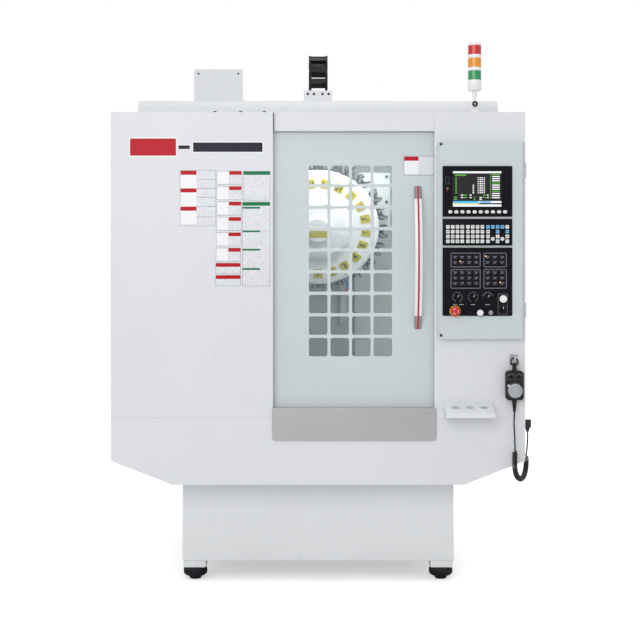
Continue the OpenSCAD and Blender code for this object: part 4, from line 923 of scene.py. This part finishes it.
# Beside the screen a memory-card flap and a small red light, and marks on the soft keys
frame_grey = plastic("frame_grey", (112, 114, 126), gloss=0.4, shine=0.1)
led_amber, led_red = glowing("led_amber", (255, 176, 90), 2.2), glowing("led_red", (220, 40, 30), 1.2)
display_mesh = bmesh.new()
flap_x, flap_z = unit_left + 0.02, display_high.z - 0.060
for half_w, half_h, lift, finish in ((0.0075, 0.015, 0.0008, 1), (0.0065, 0.014, 0.0011, 0)):
    block(display_mesh, about(flap_x, half_w), (unit_face - lift, unit_face), about(flap_z, half_h), finish)
turned(
    display_mesh, [(0, 0.0015), (0.0016, 0.0012), (0.0022, 0)], (flap_x, unit_face, flap_z - 0.040), axis="y",
    steps=16, finish=2,
)
block(display_mesh, about(flap_x, 0.0045), (unit_face - 0.0002, unit_face), about(flap_z - 0.032, 0.0005), 3)
soft_x, soft_z, soft_gap = unit_left + 0.0315, display_low.z + 0.020, 0.0254
for i in range(10):
    mark = about(soft_x + i * soft_gap, 0.003)
    block(display_mesh, mark, (unit_face - 0.0022, unit_face), about(soft_z, 0.0007), 1)
piece("display_fittings", display_mesh, "console", unit_black, frame_grey, led_red, key_white)

# ---------------------------------------------------------------- operator panel
# Membrane keys in four grey frames, three override dials with their tick rings, a mode selector, push
# buttons, a key lock and the emergency stop. Nothing on it is lettered.

panel_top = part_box("operator_panel")[1].z
key_charcoal = plastic("key_charcoal", (36, 37, 44), gloss=0.45, shine=0.1)
dial_grey = plastic("dial_grey", (168, 170, 180), gloss=0.4, shine=0.1)
stop_yellow = coated("stop_yellow", (226, 178, 28), gloss=0.35, dust=0.0)
lock_silver = metal("lock_silver", (190, 190, 192), gloss=0.25)


def on_panel(x, z):
    """A point of the operator panel's face, from its left and top edges."""
    return unit_left + x, panel_top - z


def near(place, reach):
    """Picks faces that stand off the panel within reach of a place on it."""
    x, z = on_panel(*place)
    return lambda at: at.y < unit_face - 0.0003 and math.hypot(at.x - x, at.z - z) < reach


def on_face(lift, sunk=0.0):
    """The span of a thin plate on the units' face."""
    return unit_face - lift, unit_face + sunk


dials = [(0.0617, 0.206), (0.126, 0.206), (0.1877, 0.206)]
stop_place, lock_place, mode_place = (0.0517, 0.265), (0.200, 0.271), (0.2507, 0.257)
frames_low = panel_top - 0.172
paint_faces("operator_panel", frame_grey, lambda at: at.y < unit_face - 0.0003 and at.z > frames_low)
paint_faces("operator_panel", stop_yellow, near(stop_place, 0.0235))
paint_faces("operator_panel", lock_silver, near(lock_place, 0.0095))

key_w, key_h = 0.023, 0.017
left_columns, right_columns = (0.052, 0.081, 0.1105, 0.140), (0.1877, 0.2175, 0.248)
upper_rows, lower_rows = (0.040, 0.062), (0.1046, 0.127, 0.1495)
lit_keys = [(0.081, 0.062), (0.1877, 0.040), (0.248, 0.1495)]
key_mesh = bmesh.new()
for x, z in [
    (x, z) for columns in (left_columns, right_columns) for rows in (upper_rows, lower_rows)
    for x in columns for z in rows
]:
    left, up = on_panel(x - key_w / 2, z - key_h / 2)
    round_block(key_mesh, (left, left + key_w), on_face(0.0006, 0.0002), (up - key_h, up), 0.003, "y", 3)
    for k, (start, width) in enumerate(((0.0075, 0.0115), (0.0095, 0.0065), (0.0055, 0.0075))):
        line = left + start, left + start + width
        block(key_mesh, line, on_face(0.0008, -0.0004), about(up - 0.0054 - 0.0034 * k, 0.0008), 1)
    lit = (x, z) in lit_keys
    half = 0.0022 if lit else 0.0012
    block(key_mesh, about(left + 0.0035, half), on_face(0.0010), about(up - 0.0042, half), 2 if lit else 1)


def ticks(place, inner, outer, angles):
    """Short lines round a place on the panel, at angles clockwise from the top."""
    x, z = on_panel(*place)
    for angle in angles:
        made = block(key_mesh, about(0, 0.0008), on_face(0.0002, 0.0001), (inner, outer), 3)
        moved(key_mesh, made, shift(x, 0, z), turn(angle, "Y"))


for place, angles in zip(dials, (range(-150, 151, 20), range(-150, 151, 25), range(-75, 76, 15))):
    ticks(place, 0.0175, 0.0215, angles)
ticks(mode_place, 0.0172, 0.0195, (-60, -30, 0, 30, 60))
for x, z, w, h in (
    (0.0775, 0.236, 0.02, 0.003), (0.126, 0.236, 0.018, 0.003), (0.1877, 0.236, 0.02, 0.003),
    (0.0517, 0.2355, 0.018, 0.0022),
):
    x, up = on_panel(x, z)
    block(key_mesh, about(x, w / 2), on_face(0.0002), (up - h, up), 3)
frame_left, frame_top = on_panel(0.2306, 0.1925)
frame_w, frame_h, frame_line = 0.039, 0.0843, 0.0008
for start, end, upper, lower in (
    (0, frame_w, 0, frame_line), (0, frame_w, frame_h - frame_line, frame_h), (0, frame_line, 0, frame_h),
    (frame_w - frame_line, frame_w, 0, frame_h),
):
    across = frame_left + start, frame_left + end
    block(key_mesh, across, on_face(0.0002), (frame_top - lower, frame_top - upper), 3)
piece("membrane_keys", key_mesh, "console", key_charcoal, legend_grey, led_amber, dial_grey, smooth=30)

# Knobs, buttons and the emergency stop, with a white line on each knob
knob_black = plastic("knob_black", (13, 13, 16), dust=0.02, shine=0.2)
button_white = plastic("button_white", (238, 238, 236), gloss=0.3)
stop_red = plastic("stop_red", (200, 40, 44), gloss=0.3, dust=0.03, shine=0.3)
override_knobs = ("feed_knob", "rapid_knob", "speed_knob")
dress(knob_black, 0.0005, *override_knobs, "mode_selector", "reset_button")
dress(button_white, 0.0004, "start_button", "hold_button")
dress(stop_red, 0.0006, "estop_button")
for name, place, length, height, angle in [
    (name, place, 0.0098, 0.0175, 30) for name, place in zip(override_knobs, dials)
] + [("mode_selector", mode_place, 0.012, 0.0185, 0)]:
    x, z = on_panel(*place)
    line_mesh = bmesh.new()
    block(line_mesh, about(0, 0.0008), on_face(height + 0.0003, 0.0002 - height), (0.001, length))
    moved(line_mesh, line_mesh.faces, shift(x, 0, z), turn(angle, "Y"))
    piece(name + "_line", line_mesh, name, button_white)

ring_mesh = bmesh.new()
stop_x, stop_z = on_panel(*stop_place)
stop_front, arrow_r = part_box("estop_button")[0].y, 0.0112
for start in (90, 210, 330):
    for step in range(6):
        angle = math.radians(start + step * 11)
        x, z = stop_x + arrow_r * math.cos(angle), stop_z + arrow_r * math.sin(angle)
        block(ring_mesh, about(x, 0.0011), (stop_front + 0.0002, stop_front + 0.0022), about(z, 0.0011))
piece("stop_arrows", ring_mesh, "estop_button", button_white)
lock_mesh = bmesh.new()
lock_x, lock_z = on_panel(*lock_place)
lock_rim = [(0, 0.0068), (0.0052, 0.0068), (0.0058, 0.0062), (0.0058, 0.0055)]
turned(lock_mesh, lock_rim, (lock_x, unit_face, lock_z), axis="y")
block(lock_mesh, about(lock_x, 0.0008), on_face(0.0071, -0.0066), about(lock_z, 0.0042), 1)
piece("key_lock", lock_mesh, "console", lock_silver, black_steel, smooth=40)

# ---------------------------------------------------------------- tool tray
# A folded steel tray in the covers' paint, hooked on the right cover. Each of its three holes, for tool
# holders, has a rolled lip.

tray_white = coated("tray_white", (226, 228, 231), gloss=0.42, scuff=0.15)
dress(tray_white, 0.001, "tool_tray")
tray_reach, tray_drop = 0.100, 0.040
tray_lean = math.degrees(math.atan2(tray_drop, tray_reach))
tray_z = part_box("tool_tray")[1].z - tray_drop / 2
hole_mesh = bmesh.new()
hole_lip = [
    (0.0168, -0.0006), (0.0168, 0.0006), (0.0176, 0.0012), (0.0188, 0.0008), (0.0192, 0.0),
    (0.0192, -0.0006), (0.0168, -0.0006),
]
for x in (0.573, 0.632, 0.691):
    lip = turned(hole_mesh, hole_lip, steps=40)
    moved(hole_mesh, lip, shift(x, front_y - tray_reach / 2, tray_z), turn(tray_lean, "X"))
piece("tray_hole_lips", hole_mesh, "frame", tray_white, smooth=40)

# ---------------------------------------------------------------- hand unit
# A moulded black body with a grey handwheel and its scale, two selectors and a white button. It hangs from a
# wire hook by its bail, and its cord ends at a black gland box on the machine's right side.

body_black = coated(
    "body_black", (28, 28, 32), gloss=0.42, peel=0.0006, peel_scale=1800, dust=0.08, shine=0.25
)
wheel_grey = plastic("wheel_grey", (186, 190, 194), gloss=0.3, dust=0.05, metal=0.4)
dress(metal("hook_steel", (196, 197, 199), gloss=0.28), 0.0005, "pendant_hook")
dress(body_black, 0.0012, "pendant_body")
dress(wheel_grey, 0.0006, "handwheel")
dress(knob_black, 0.0004, "axis_selector", "rate_selector")
hand_x = sum(corner.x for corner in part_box("pendant_body")) / 2
hand_face, hand_top, wheel_z, scale_lines = -1.020, 0.921, 0.839, 50
dial_mesh = bmesh.new()
round_block(
    dial_mesh, about(hand_x, 0.033), (hand_face - 0.0005, hand_face + 0.0002),
    (hand_top - 0.043, hand_top - 0.007), 0.004, "y", 3,
)
for side in (-1, 1):
    for angle in range(-60, 61, 30):
        made = block(dial_mesh, about(0, 0.0004), (hand_face - 0.0008, hand_face), (0.0098, 0.0125), 1)
        moved(dial_mesh, made, shift(hand_x + side * 0.017, 0, hand_top - 0.024), turn(angle, "Y"))
scale_ring = [(0.0295, 0.0), (0.0295, 0.0012), (0.0355, 0.0012), (0.036, 0.0), (0.0295, 0.0)]
turned(dial_mesh, scale_ring, (hand_x, hand_face, wheel_z), axis="y", steps=64)
for step in range(scale_lines):
    reach = 0.0328 if step % 5 else 0.0345
    made = block(dial_mesh, about(0, 0.0002), (hand_face - 0.0014, hand_face - 0.001), (0.0305, reach), 1)
    moved(dial_mesh, made, shift(hand_x, 0, wheel_z), turn(step * 360 / scale_lines, "Y"))
piece("hand_unit_dial", dial_mesh, "frame", black_steel, button_white, smooth=40)
button_mesh = bmesh.new()
button = [(0, 0.0035), (0.0045, 0.0033), (0.0052, 0.002), (0.0052, -0.001)]
turned(button_mesh, button, (hand_x - 0.026, hand_face, hand_top - 0.062), axis="y")
piece("hand_unit_button", button_mesh, "frame", button_white, smooth=40)

hand_cord.data.materials.append(plastic("cord_pvc", (30, 30, 32), gloss=0.45, dust=0.02))
dress(coated("gland_black", (40, 41, 44), gloss=0.5, dust=0.06), 0.001, "cord_gland")

# ---------------------------------------------------------------- roof
# A folded hood over the column's head, a box with a screwed lid for the relay cards, the bracket of the cable
# chain and the chain itself, whose loose end goes down with the head.

hood_white = coated("hood_white", (218, 220, 223), gloss=0.45, dust=0.18)
dress(hood_white, 0.0015, "roof_hood", "roof_box", "roof_deck")
box_low, box_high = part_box("roof_box")
lid_mesh = bmesh.new()
round_block(
    lid_mesh, (box_low.x + 0.008, box_high.x - 0.008), (box_low.y - 0.0015, box_low.y + 0.001),
    (box_low.z + 0.010, box_high.z - 0.010), 0.004, "y", 2,
)
lid_screw = [(0, 0.0022), (0.003, 0.0020), (0.0045, 0.0006), (0.0045, -0.001)]
for x in (box_low.x + 0.020, box_high.x - 0.020):
    for z in (box_low.z + 0.022, box_high.z - 0.022):
        turned(lid_mesh, lid_screw, (x, box_low.y - 0.0012, z), axis="y", steps=20, finish=1)
piece("roof_box_lid", lid_mesh, "frame", hood_white, black_steel, smooth=40)

dress(cover_white, 0.001, "chain_bracket")
bracket_low, bracket_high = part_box("chain_bracket")
bracket_mesh = bmesh.new()
socket_head = [
    (0, 0.0025), (0.0022, 0.0025), (0.0022, 0.0012), (0.0030, 0.0030), (0.0052, 0.0022), (0.0058, 0)
]
for x in (-0.048, -0.020, 0.020, 0.048):
    place = (x, bracket_low.y - 0.0001, bracket_high.z - 0.016)
    turned(bracket_mesh, socket_head, place, axis="y", steps=20)
piece("bracket_screws", bracket_mesh, "frame", black_steel, smooth=40)

chain_plastic = coated("chain_plastic", (28, 29, 33), gloss=0.42, dust=0.14, peel=0.0002, shine=0.25)
chain_mesh = bmesh.new()
chain_mesh.from_mesh(nodes["drag_chain"].data)
chain = piece("cable_chain", chain_mesh, None, chain_plastic, smooth=35)
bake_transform(chain)
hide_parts("drag_chain")

# ---------------------------------------------------------------- signal lamp
# A fold-down foot, a white base and three fluted polycarbonate lenses in green, amber and red, between white
# rings, with a white cap. A faint glow of their own stands for the hall's light behind the lenses.

lamp_white = plastic("lamp_white", (238, 239, 240), gloss=0.3, dust=0.04)
dress(lamp_white, 0.0008, "lamp_foot")
dress(lamp_white, 0.0004, "lamp_stack")
lamp_x, lamp_y, neck_top, pivot_z = 0.668, front_y + 0.09, 2.107, 2.050
lens_r, lens_h, lens_pitch, ribs, rib_depth = 0.0279, 0.040, 0.054, 24, 0.008
lens_colours = {"lens_green": (40, 150, 90), "lens_amber": (236, 150, 36), "lens_red": (206, 36, 40)}
for level, (name, colour) in enumerate(lens_colours.items()):
    lens, tree, shader = new_material(name)
    grain = noise(tree, object_place(tree), 60, 2)
    tint = mixed(tree, grain, srgb(*colour), srgb(*[value * 0.86 for value in colour]))
    fill(tree, shader, {
        "Base Color": tint, "Emission Color": tint, "Emission Strength": 0.12, "Roughness": 0.18,
        "Coat Weight": 0.5,
    })
    low = neck_top + 0.0445 + level * lens_pitch
    high = low + lens_h
    lens_mesh = bmesh.new()
    turned(
        lens_mesh, [(0.0270, low), (lens_r, low + 0.001), (lens_r, high - 0.001), (0.0270, high)],
        (lamp_x, lamp_y, 0), steps=96,
    )
    for corner in lens_mesh.verts:
        x, y = corner.co.x - lamp_x, corner.co.y - lamp_y
        rib = 1 + rib_depth * math.cos(ribs * math.atan2(y, x))
        corner.co.x, corner.co.y = lamp_x + x * rib, lamp_y + y * rib
    piece("lamp_" + name, lens_mesh, "lamp_stack", lens, smooth=30)
pivot_mesh = bmesh.new()
pivot_place = (lamp_x, lamp_y - 0.0134, pivot_z)
turned(pivot_mesh, [(0, 0.0012), (0.0115, 0.0010), (0.0125, 0)], pivot_place, axis="y", steps=32)
turned(pivot_mesh, [(0, 0.0028), (0.0035, 0.0026), (0.0045, 0.0012)], pivot_place, axis="y", finish=1)
piece("lamp_pivot", pivot_mesh, "lamp_stack", black_steel, lock_silver, smooth=40)

# ---------------------------------------------------------------- base and levelling feet
# One ribbed iron casting under a thick, slightly rough coat of light paint. It stands on four painted steel
# blocks over black rubber levelling pads.

cast_white = coated(
    "cast_white", (228, 230, 232), gloss=0.5, peel=0.0012, peel_scale=240, scuff=0.12, dust=0.2
)
pad_rubber = coated("pad_rubber", (26, 26, 32), gloss=0.62, peel_scale=600, shine=0.2)
dress(cast_white, 0.004, "base_casting")
feet_low, feet_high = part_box("leveling_feet")
pad_top, pad_r, block_half, foot_inset = 0.055, 0.052, 0.048, 0.052
pad_shape = [
    (0.44, 0), (0.56, 0.2), (0.8, 0.28), (0.95, 0.40), (1, 0.56), (0.985, 0.76), (0.90, 0.94), (0.84, 1)
]
feet_mesh = bmesh.new()
for x in (feet_low.x + foot_inset, feet_high.x - foot_inset):
    for y in (feet_low.y + foot_inset, feet_high.y - foot_inset):
        turned(feet_mesh, [(pad_r * wide, pad_top * high) for wide, high in pad_shape], (x, y, 0), steps=64)
        round_block(
            feet_mesh, about(x, block_half), about(y, block_half), (pad_top, feet_high.z), 0.003, "xyz", 2, 1
        )
feet = piece("levelling_pads", feet_mesh, "frame", pad_rubber, cast_white, smooth=40)
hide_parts("leveling_feet")

# ---------------------------------------------------------------- side and rear covers
# Folded sheets like the front ones, screwed to the frame. Each side has a service hatch, a shallow cover that
# is held by quarter-turn locks.


def quarter_turn(mesh, body, slot_top, *steps):
    """A lock's round body with a bright slot, made at the origin and moved."""
    made = turned(mesh, body, steps=32)
    made += block(mesh, about(0, 0.0055), about(0, 0.0011), (0.003, slot_top), 1)
    moved(mesh, made, *steps)


dress(cover_white, 0.001, "left_side_panel", "right_side_panel", "rear_cover")
lock_black = coated("lock_black", (40, 41, 44), gloss=0.4, dust=0.05)
hatch_lock = [(0, 0.0035), (0.0095, 0.0035), (0.0135, 0.0028), (0.0145, 0.0012), (0.0145, -0.001)]
fold_y = front_y + 0.025
hatch_mesh = bmesh.new()
for face_x, out in ((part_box("left_side_panel")[0].x, -1), (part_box("right_side_panel")[1].x, 1)):
    round_block(
        hatch_mesh, sorted((face_x - out * 0.0005, face_x + out * 0.002)), (fold_y + 0.130, fold_y + 0.780),
        (0.900, 1.800), 0.012, "x", 4, 2,
    )
    for y in (fold_y + 0.155, fold_y + 0.755):
        for z in (1.02, 1.35, 1.68):
            place = shift(face_x + out * 0.002, y, z)
            quarter_turn(hatch_mesh, hatch_lock, 0.0042, place, turn(90 * out, "Y"))
piece("service_hatches", hatch_mesh, "frame", lock_black, lock_silver, cover_white, smooth=40)

# ---------------------------------------------------------------- electrical cabinet
# A sheet-steel cabinet in textured light grey on the machine's back, with two lifting eyes on its roof. Its
# door has two filter vents, three quarter-turn locks and the main switch. Inside are a zinc plate, four
# drives and a row of contactors.

cabinet_grey = coated("cabinet_grey", (214, 216, 217), gloss=0.52, peel=0.0009, peel_scale=500, dust=0.15)
drive_dark = coated("drive_dark", (56, 58, 62), gloss=0.5, peel=0.0003)
vent_dark = coated("vent_dark", (92, 95, 98), gloss=0.55, peel=0.0003, dust=0.2)
zinc = metal("zinc", (176, 180, 184), gloss=0.42)
dress(cabinet_grey, 0.001, "electrical_cabinet", "cabinet_door")
cabinet_low, cabinet_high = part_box("electrical_cabinet")
rear_y = cabinet_low.y
door_face_y, gear_y = rear_y + 0.48, rear_y + 0.0205


def in_cabinet(at):
    """Whether a point lies among the switchgear, clear of the cabinet's own walls."""
    return abs(at.x) < 0.455 and 0.665 < at.z < 1.855 and rear_y + 0.004 < at.y < rear_y + 0.25


paint_faces("electrical_cabinet", zinc, lambda at: in_cabinet(at) and at.y < gear_y)
paint_faces("electrical_cabinet", drive_dark, lambda at: in_cabinet(at) and at.y > gear_y)

vent_mesh = bmesh.new()
vent_x, vent_half, vent_rim, slats = -0.250, 0.102, 0.009, 8
vent_front = door_face_y + 0.012
for z in (0.820, 1.700):
    plate_y = door_face_y - 0.0005, door_face_y + 0.004
    round_block(vent_mesh, about(vent_x, vent_half), plate_y, about(z, vent_half), 0.012, "y", 4)
    for edge in (vent_rim - vent_half, vent_half - vent_rim):
        for x, across, rise, up in ((edge, vent_rim, 0, vent_half), (0, vent_half, edge, vent_rim)):
            round_block(
                vent_mesh, about(vent_x + x, across), (door_face_y + 0.003, vent_front), about(z + rise, up),
                0.002, "xyz", 2,
            )
    for k in range(slats):
        middle = z + (k - (slats - 1) / 2) * 0.0205
        slat = [
            (door_face_y + 0.0035, middle + 0.009), (door_face_y + 0.0035, middle + 0.007),
            (vent_front - 0.0015, middle - 0.009), (vent_front, middle - 0.0075),
        ]
        prism(vent_mesh, slat, about(vent_x, vent_half - 0.017))
piece("filter_vents", vent_mesh, "cabinet_door", vent_dark, smooth=35)

eye_mesh = bmesh.new()
eye_r, eye_wire, eye_up = 0.017, 0.006, 0.028
angles = [math.radians(angle) for angle in range(0, 360, 30)]
ring = [(eye_r + eye_wire * math.cos(angle), eye_wire * math.sin(angle)) for angle in angles]
for x in (-0.420, 0.420):
    y, z = (rear_y + cabinet_high.y) / 2, cabinet_high.z
    turned(eye_mesh, [(0.016, -0.0005), (0.016, 0.006), (0.013, 0.008), (0.010, 0.013)], (x, y, z), steps=32)
    turned(eye_mesh, ring + ring[:1], (x, y, z + eye_up), axis="y", steps=40)
piece("lifting_eyes", eye_mesh, "frame", zinc, smooth=40)

gear_mesh = bmesh.new()
drive_y, contact_y = gear_y + 0.1895, gear_y + 0.0795
for left in [-0.400 + i * 0.150 for i in range(4)]:
    cover = (left + 0.012, left + 0.108), (drive_y - 0.001, drive_y + 0.004), (1.420, 1.735)
    round_block(gear_mesh, *cover, 0.002, "xz", 2)
    block(gear_mesh, (left + 0.030, left + 0.090), (drive_y + 0.003, drive_y + 0.0052), (1.690, 1.720), 1)
    for k in range(5):
        z = 1.650 - k * 0.034
        block(gear_mesh, (left + 0.036, left + 0.084), (drive_y + 0.003, drive_y + 0.010), about(z, 0.010), 2)
    for k in range(6):
        x = left + 0.025 + k * 0.014
        block(gear_mesh, about(x, 0.005), (drive_y + 0.003, drive_y + 0.009), (1.432, 1.452), 2)
terminal = [(0, -0.0015), (0.0035, -0.0015), (0.0048, -0.0005), (0.0048, 0.001)]
for left in [-0.400 + i * 0.095 for i in range(8)]:
    for z in (1.170, 1.238):
        for k in range(3):
            place = (left + 0.018 + k * 0.022, contact_y, z)
            turned(gear_mesh, terminal, place, axis="y", steps=12, finish=3)
    block(gear_mesh, (left + 0.020, left + 0.060), (contact_y - 0.001, contact_y + 0.008), (1.188, 1.222), 2)
piece("switchgear_fronts", gear_mesh, "frame", drive_dark, lit_sand, frame_grey, zinc, smooth=40)

door_lock = [(0, 0.004), (0.010, 0.004), (0.014, 0.003), (0.015, 0.001), (0.015, -0.001)]
lock_mesh = bmesh.new()
for z in (0.86, 1.26, 1.66):
    quarter_turn(lock_mesh, door_lock, 0.0048, shift(0.470, door_face_y, z), turn(-90, "X"))
piece("cabinet_locks", lock_mesh, "cabinet_door", lock_black, lock_silver, smooth=40)

switch_yellow = coated("switch_yellow", (232, 190, 36), gloss=0.35, dust=0.05)
dress(stop_red, 0.0006, "main_switch")
paint_faces("main_switch", switch_yellow, lambda at: at.y < door_face_y + 0.0086)

# ---------------------------------------------------------------- machine inside the cabin
# Grey-painted iron castings, bolted to the base or riding on ground linear rails, black servo motors, a
# T-slotted table and the spindle. The walls round them are painted sheet.

liner_paint = coated("liner_paint", (196, 206, 204), gloss=0.4, cloud=0.05, dust=0.1, scuff=0.2)
casting_grey = coated("casting_grey", (176, 184, 184), gloss=0.5, peel=0.0012, peel_scale=260, cloud=0.03)
motor_black = coated("motor_black", (38, 40, 44), gloss=0.42, peel=0.0005, dust=0.15)
dress(liner_paint, 0, "splash_liner")
dress(casting_grey, 0.0025, "column", "saddle", "spindle_head", "turret_carrier")
ground_steel = metal("ground_steel", (186, 188, 191), gloss=0.26, along_x=40.0, along_z=1.0)
dress(ground_steel, 0.0006, "guide_rails", "table", "spindle")
dress(metal("track_zinc", (170, 174, 178), gloss=0.4), 0.0004, "door_track")
dress(motor_black, 0.0015, "axis_motors", "cross_motor", "spindle_motor")
column_top, motor_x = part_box("column")[1].z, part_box("cross_motor")[0].x
paint_faces("axis_motors", zinc, lambda at: column_top - 0.001 < at.z < column_top + 0.0145)
paint_faces("cross_motor", zinc, lambda at: at.x < motor_x + 0.0145)

# Chip guard: a folded stainless sheet, screwed to the saddle's front, that sheds chips off the lower ways
saddle_low, saddle_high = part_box("saddle")
guard_top, guard_low = saddle_high.z - 0.028, saddle_low.z + 0.003
guard_back, guard_front, guard_sheet = saddle_low.y - 0.0002, saddle_low.y - 0.060, 0.0015
guard_mesh = bmesh.new()
guard = [
    (guard_back, guard_top), (guard_back, guard_top - 0.020), (guard_back - guard_sheet, guard_top - 0.020),
    (guard_back - guard_sheet, guard_top - 0.002), (guard_front + guard_sheet, guard_low + 0.011),
    (guard_front + guard_sheet, guard_low), (guard_front, guard_low), (guard_front, guard_low + 0.0115),
    (guard_back - 0.002, guard_top),
]
prism(guard_mesh, guard, about(0, 0.260))
piece("chip_guard", guard_mesh, "cross_saddle", stainless)

# Coolant hoses: ball-jointed plastic links in blue, orange at the bottom where the turned nozzles are
dress(plastic("hose_blue", (52, 116, 200), dust=0.12), 0.0004, "coolant_hoses")
nozzle_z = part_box("coolant_hoses")[0].z + 0.022
nozzle_orange = plastic("nozzle_orange", (214, 84, 38), dust=0.12)
paint_faces("coolant_hoses", nozzle_orange, lambda at: at.z < nozzle_z)

# Index drive of the turret: a bolted plate on the carrier's right arm, with the gear box and the servo motor
# behind it and two hydraulic unions in front, joined by a short reinforced hose
drive_left, drive_right, drive_front, drive_back, drive_high = 0.190, 0.330, -0.465, -0.447, 1.792
drive_x, drive_z = (drive_left + drive_right) / 2, 1.702
drive_screw = [(0.007, -0.001), (0.007, 0.006), (0.0062, 0.007), (0.0035, 0.007), (0.0035, 0.004)]
drive_mesh = bmesh.new()
arm_plate = (drive_left, drive_right), (drive_front, drive_back), (1.530, drive_high)
round_block(drive_mesh, *arm_plate, 0.0025, "xyz", 2)
for x in (drive_left + 0.016, drive_right - 0.016):
    for z in (1.658, drive_high - 0.018):
        turned(drive_mesh, drive_screw, (x, drive_front, z), axis="y", finish=1)
drums = (0.060, -0.001, 0.039, 0), (0.075, 0.038, 0.052, 2), (0.052, 0.157, 0.188, 3)
for radius, near_end, far_end, finish in drums:
    drum = [(radius, -far_end), (radius, -near_end)]
    turned(drive_mesh, drum, (drive_x, drive_back, drive_z), axis="y", steps=64, finish=finish)
motor_half, motor_y = 0.065, (drive_back + 0.0518, drive_back + 0.158)
round_block(
    drive_mesh, about(drive_x, motor_half), motor_y, about(drive_z, motor_half), 0.008, "y", 4, 3
)
piece("index_drive", drive_mesh, "frame", casting_grey, black_steel, zinc, motor_black, smooth=35)

union_x, union_high, union_low, hose_y, hose_bend = 0.262, 1.700, 1.562, drive_front - 0.016, 0.0095
elbow = [
    (0, 0.020), (0.006, 0.020), (0.0075, 0.018), (0.0075, 0.012), (0.010, 0.012), (0.010, 0.003),
    (0.013, 0.003), (0.013, -0.001),
]
coupling = [(0, -0.008), (0.010, -0.008), (0.0125, 0.0), (0.0125, 0.012), (0.009, 0.020), (0, 0.020)]
union_mesh = bmesh.new()
for z in (union_high, union_low):
    turned(union_mesh, elbow, (union_x, drive_front, z), axis="y", steps=6)
turned(union_mesh, coupling, (union_x, drive_front - 0.0235, 1.592))
piece("drive_unions", union_mesh, "frame", metal("brass", (196, 164, 96)), smooth=35)


def bent(mesh, edges, z):
    """Sweeps the hose's ring through a quarter turn round a height, and returns the new ring."""
    swept = bmesh.ops.spin(
        mesh, geom=edges, cent=(union_x, hose_y, z), axis=(1, 0, 0), angle=math.radians(90), steps=8,
        use_merge=False,
    )
    return [part for part in swept["geom_last"] if isinstance(part, bmesh.types.BMEdge)]


hose_mesh = bmesh.new()
hose_start = shift(union_x, hose_y, union_high) @ turn(90, "X")
bmesh.ops.create_circle(hose_mesh, segments=16, radius=0.007, matrix=hose_start)
ring = bent(hose_mesh, list(hose_mesh.edges), union_high - hose_bend)
down = bmesh.ops.extrude_edge_only(hose_mesh, edges=ring)["geom"]
corners = [part for part in down if isinstance(part, bmesh.types.BMVert)]
bmesh.ops.translate(hose_mesh, verts=corners, vec=(0, 0, union_low - union_high + 2 * hose_bend))
edges = [part for part in down if isinstance(part, bmesh.types.BMEdge)]
ring = [edge for edge in edges if all(corner in corners for corner in edge.verts)]
bent(hose_mesh, ring, union_low + hose_bend)
piece("drive_hose", hose_mesh, "frame", coated("hose_teal", (34, 74, 78), gloss=0.4, peel=0.0002), smooth=40)

# Work lamp: a sealed tube under the roof deck, behind the header. With a soft box that stands for what the
# walls throw back, it lights the work space.
lamp_mesh = bmesh.new()
round_block(lamp_mesh, (-0.10, 0.42), (-0.890, -0.846), (1.962, 2.0015), 0.008, "xz", 3)
block(lamp_mesh, (-0.08, 0.40), (-0.886, -0.850), (1.957, 1.963), 1)
lamp_tube = glowing("lamp_tube", (250, 250, 246), 4.0)
piece("work_lamp", lamp_mesh, "frame", lamp_white, lamp_tube, smooth=40)
soft_box("cabin_light", (0.16, -0.868, 1.950), (0.10, -0.62, 1.35), 0.48, 0.034, 5.2)
soft_box("cabin_fill", (0.66, -0.62, 1.45), (0.20, 0.12, 1.05), 0.25, 0.5, 1.5)
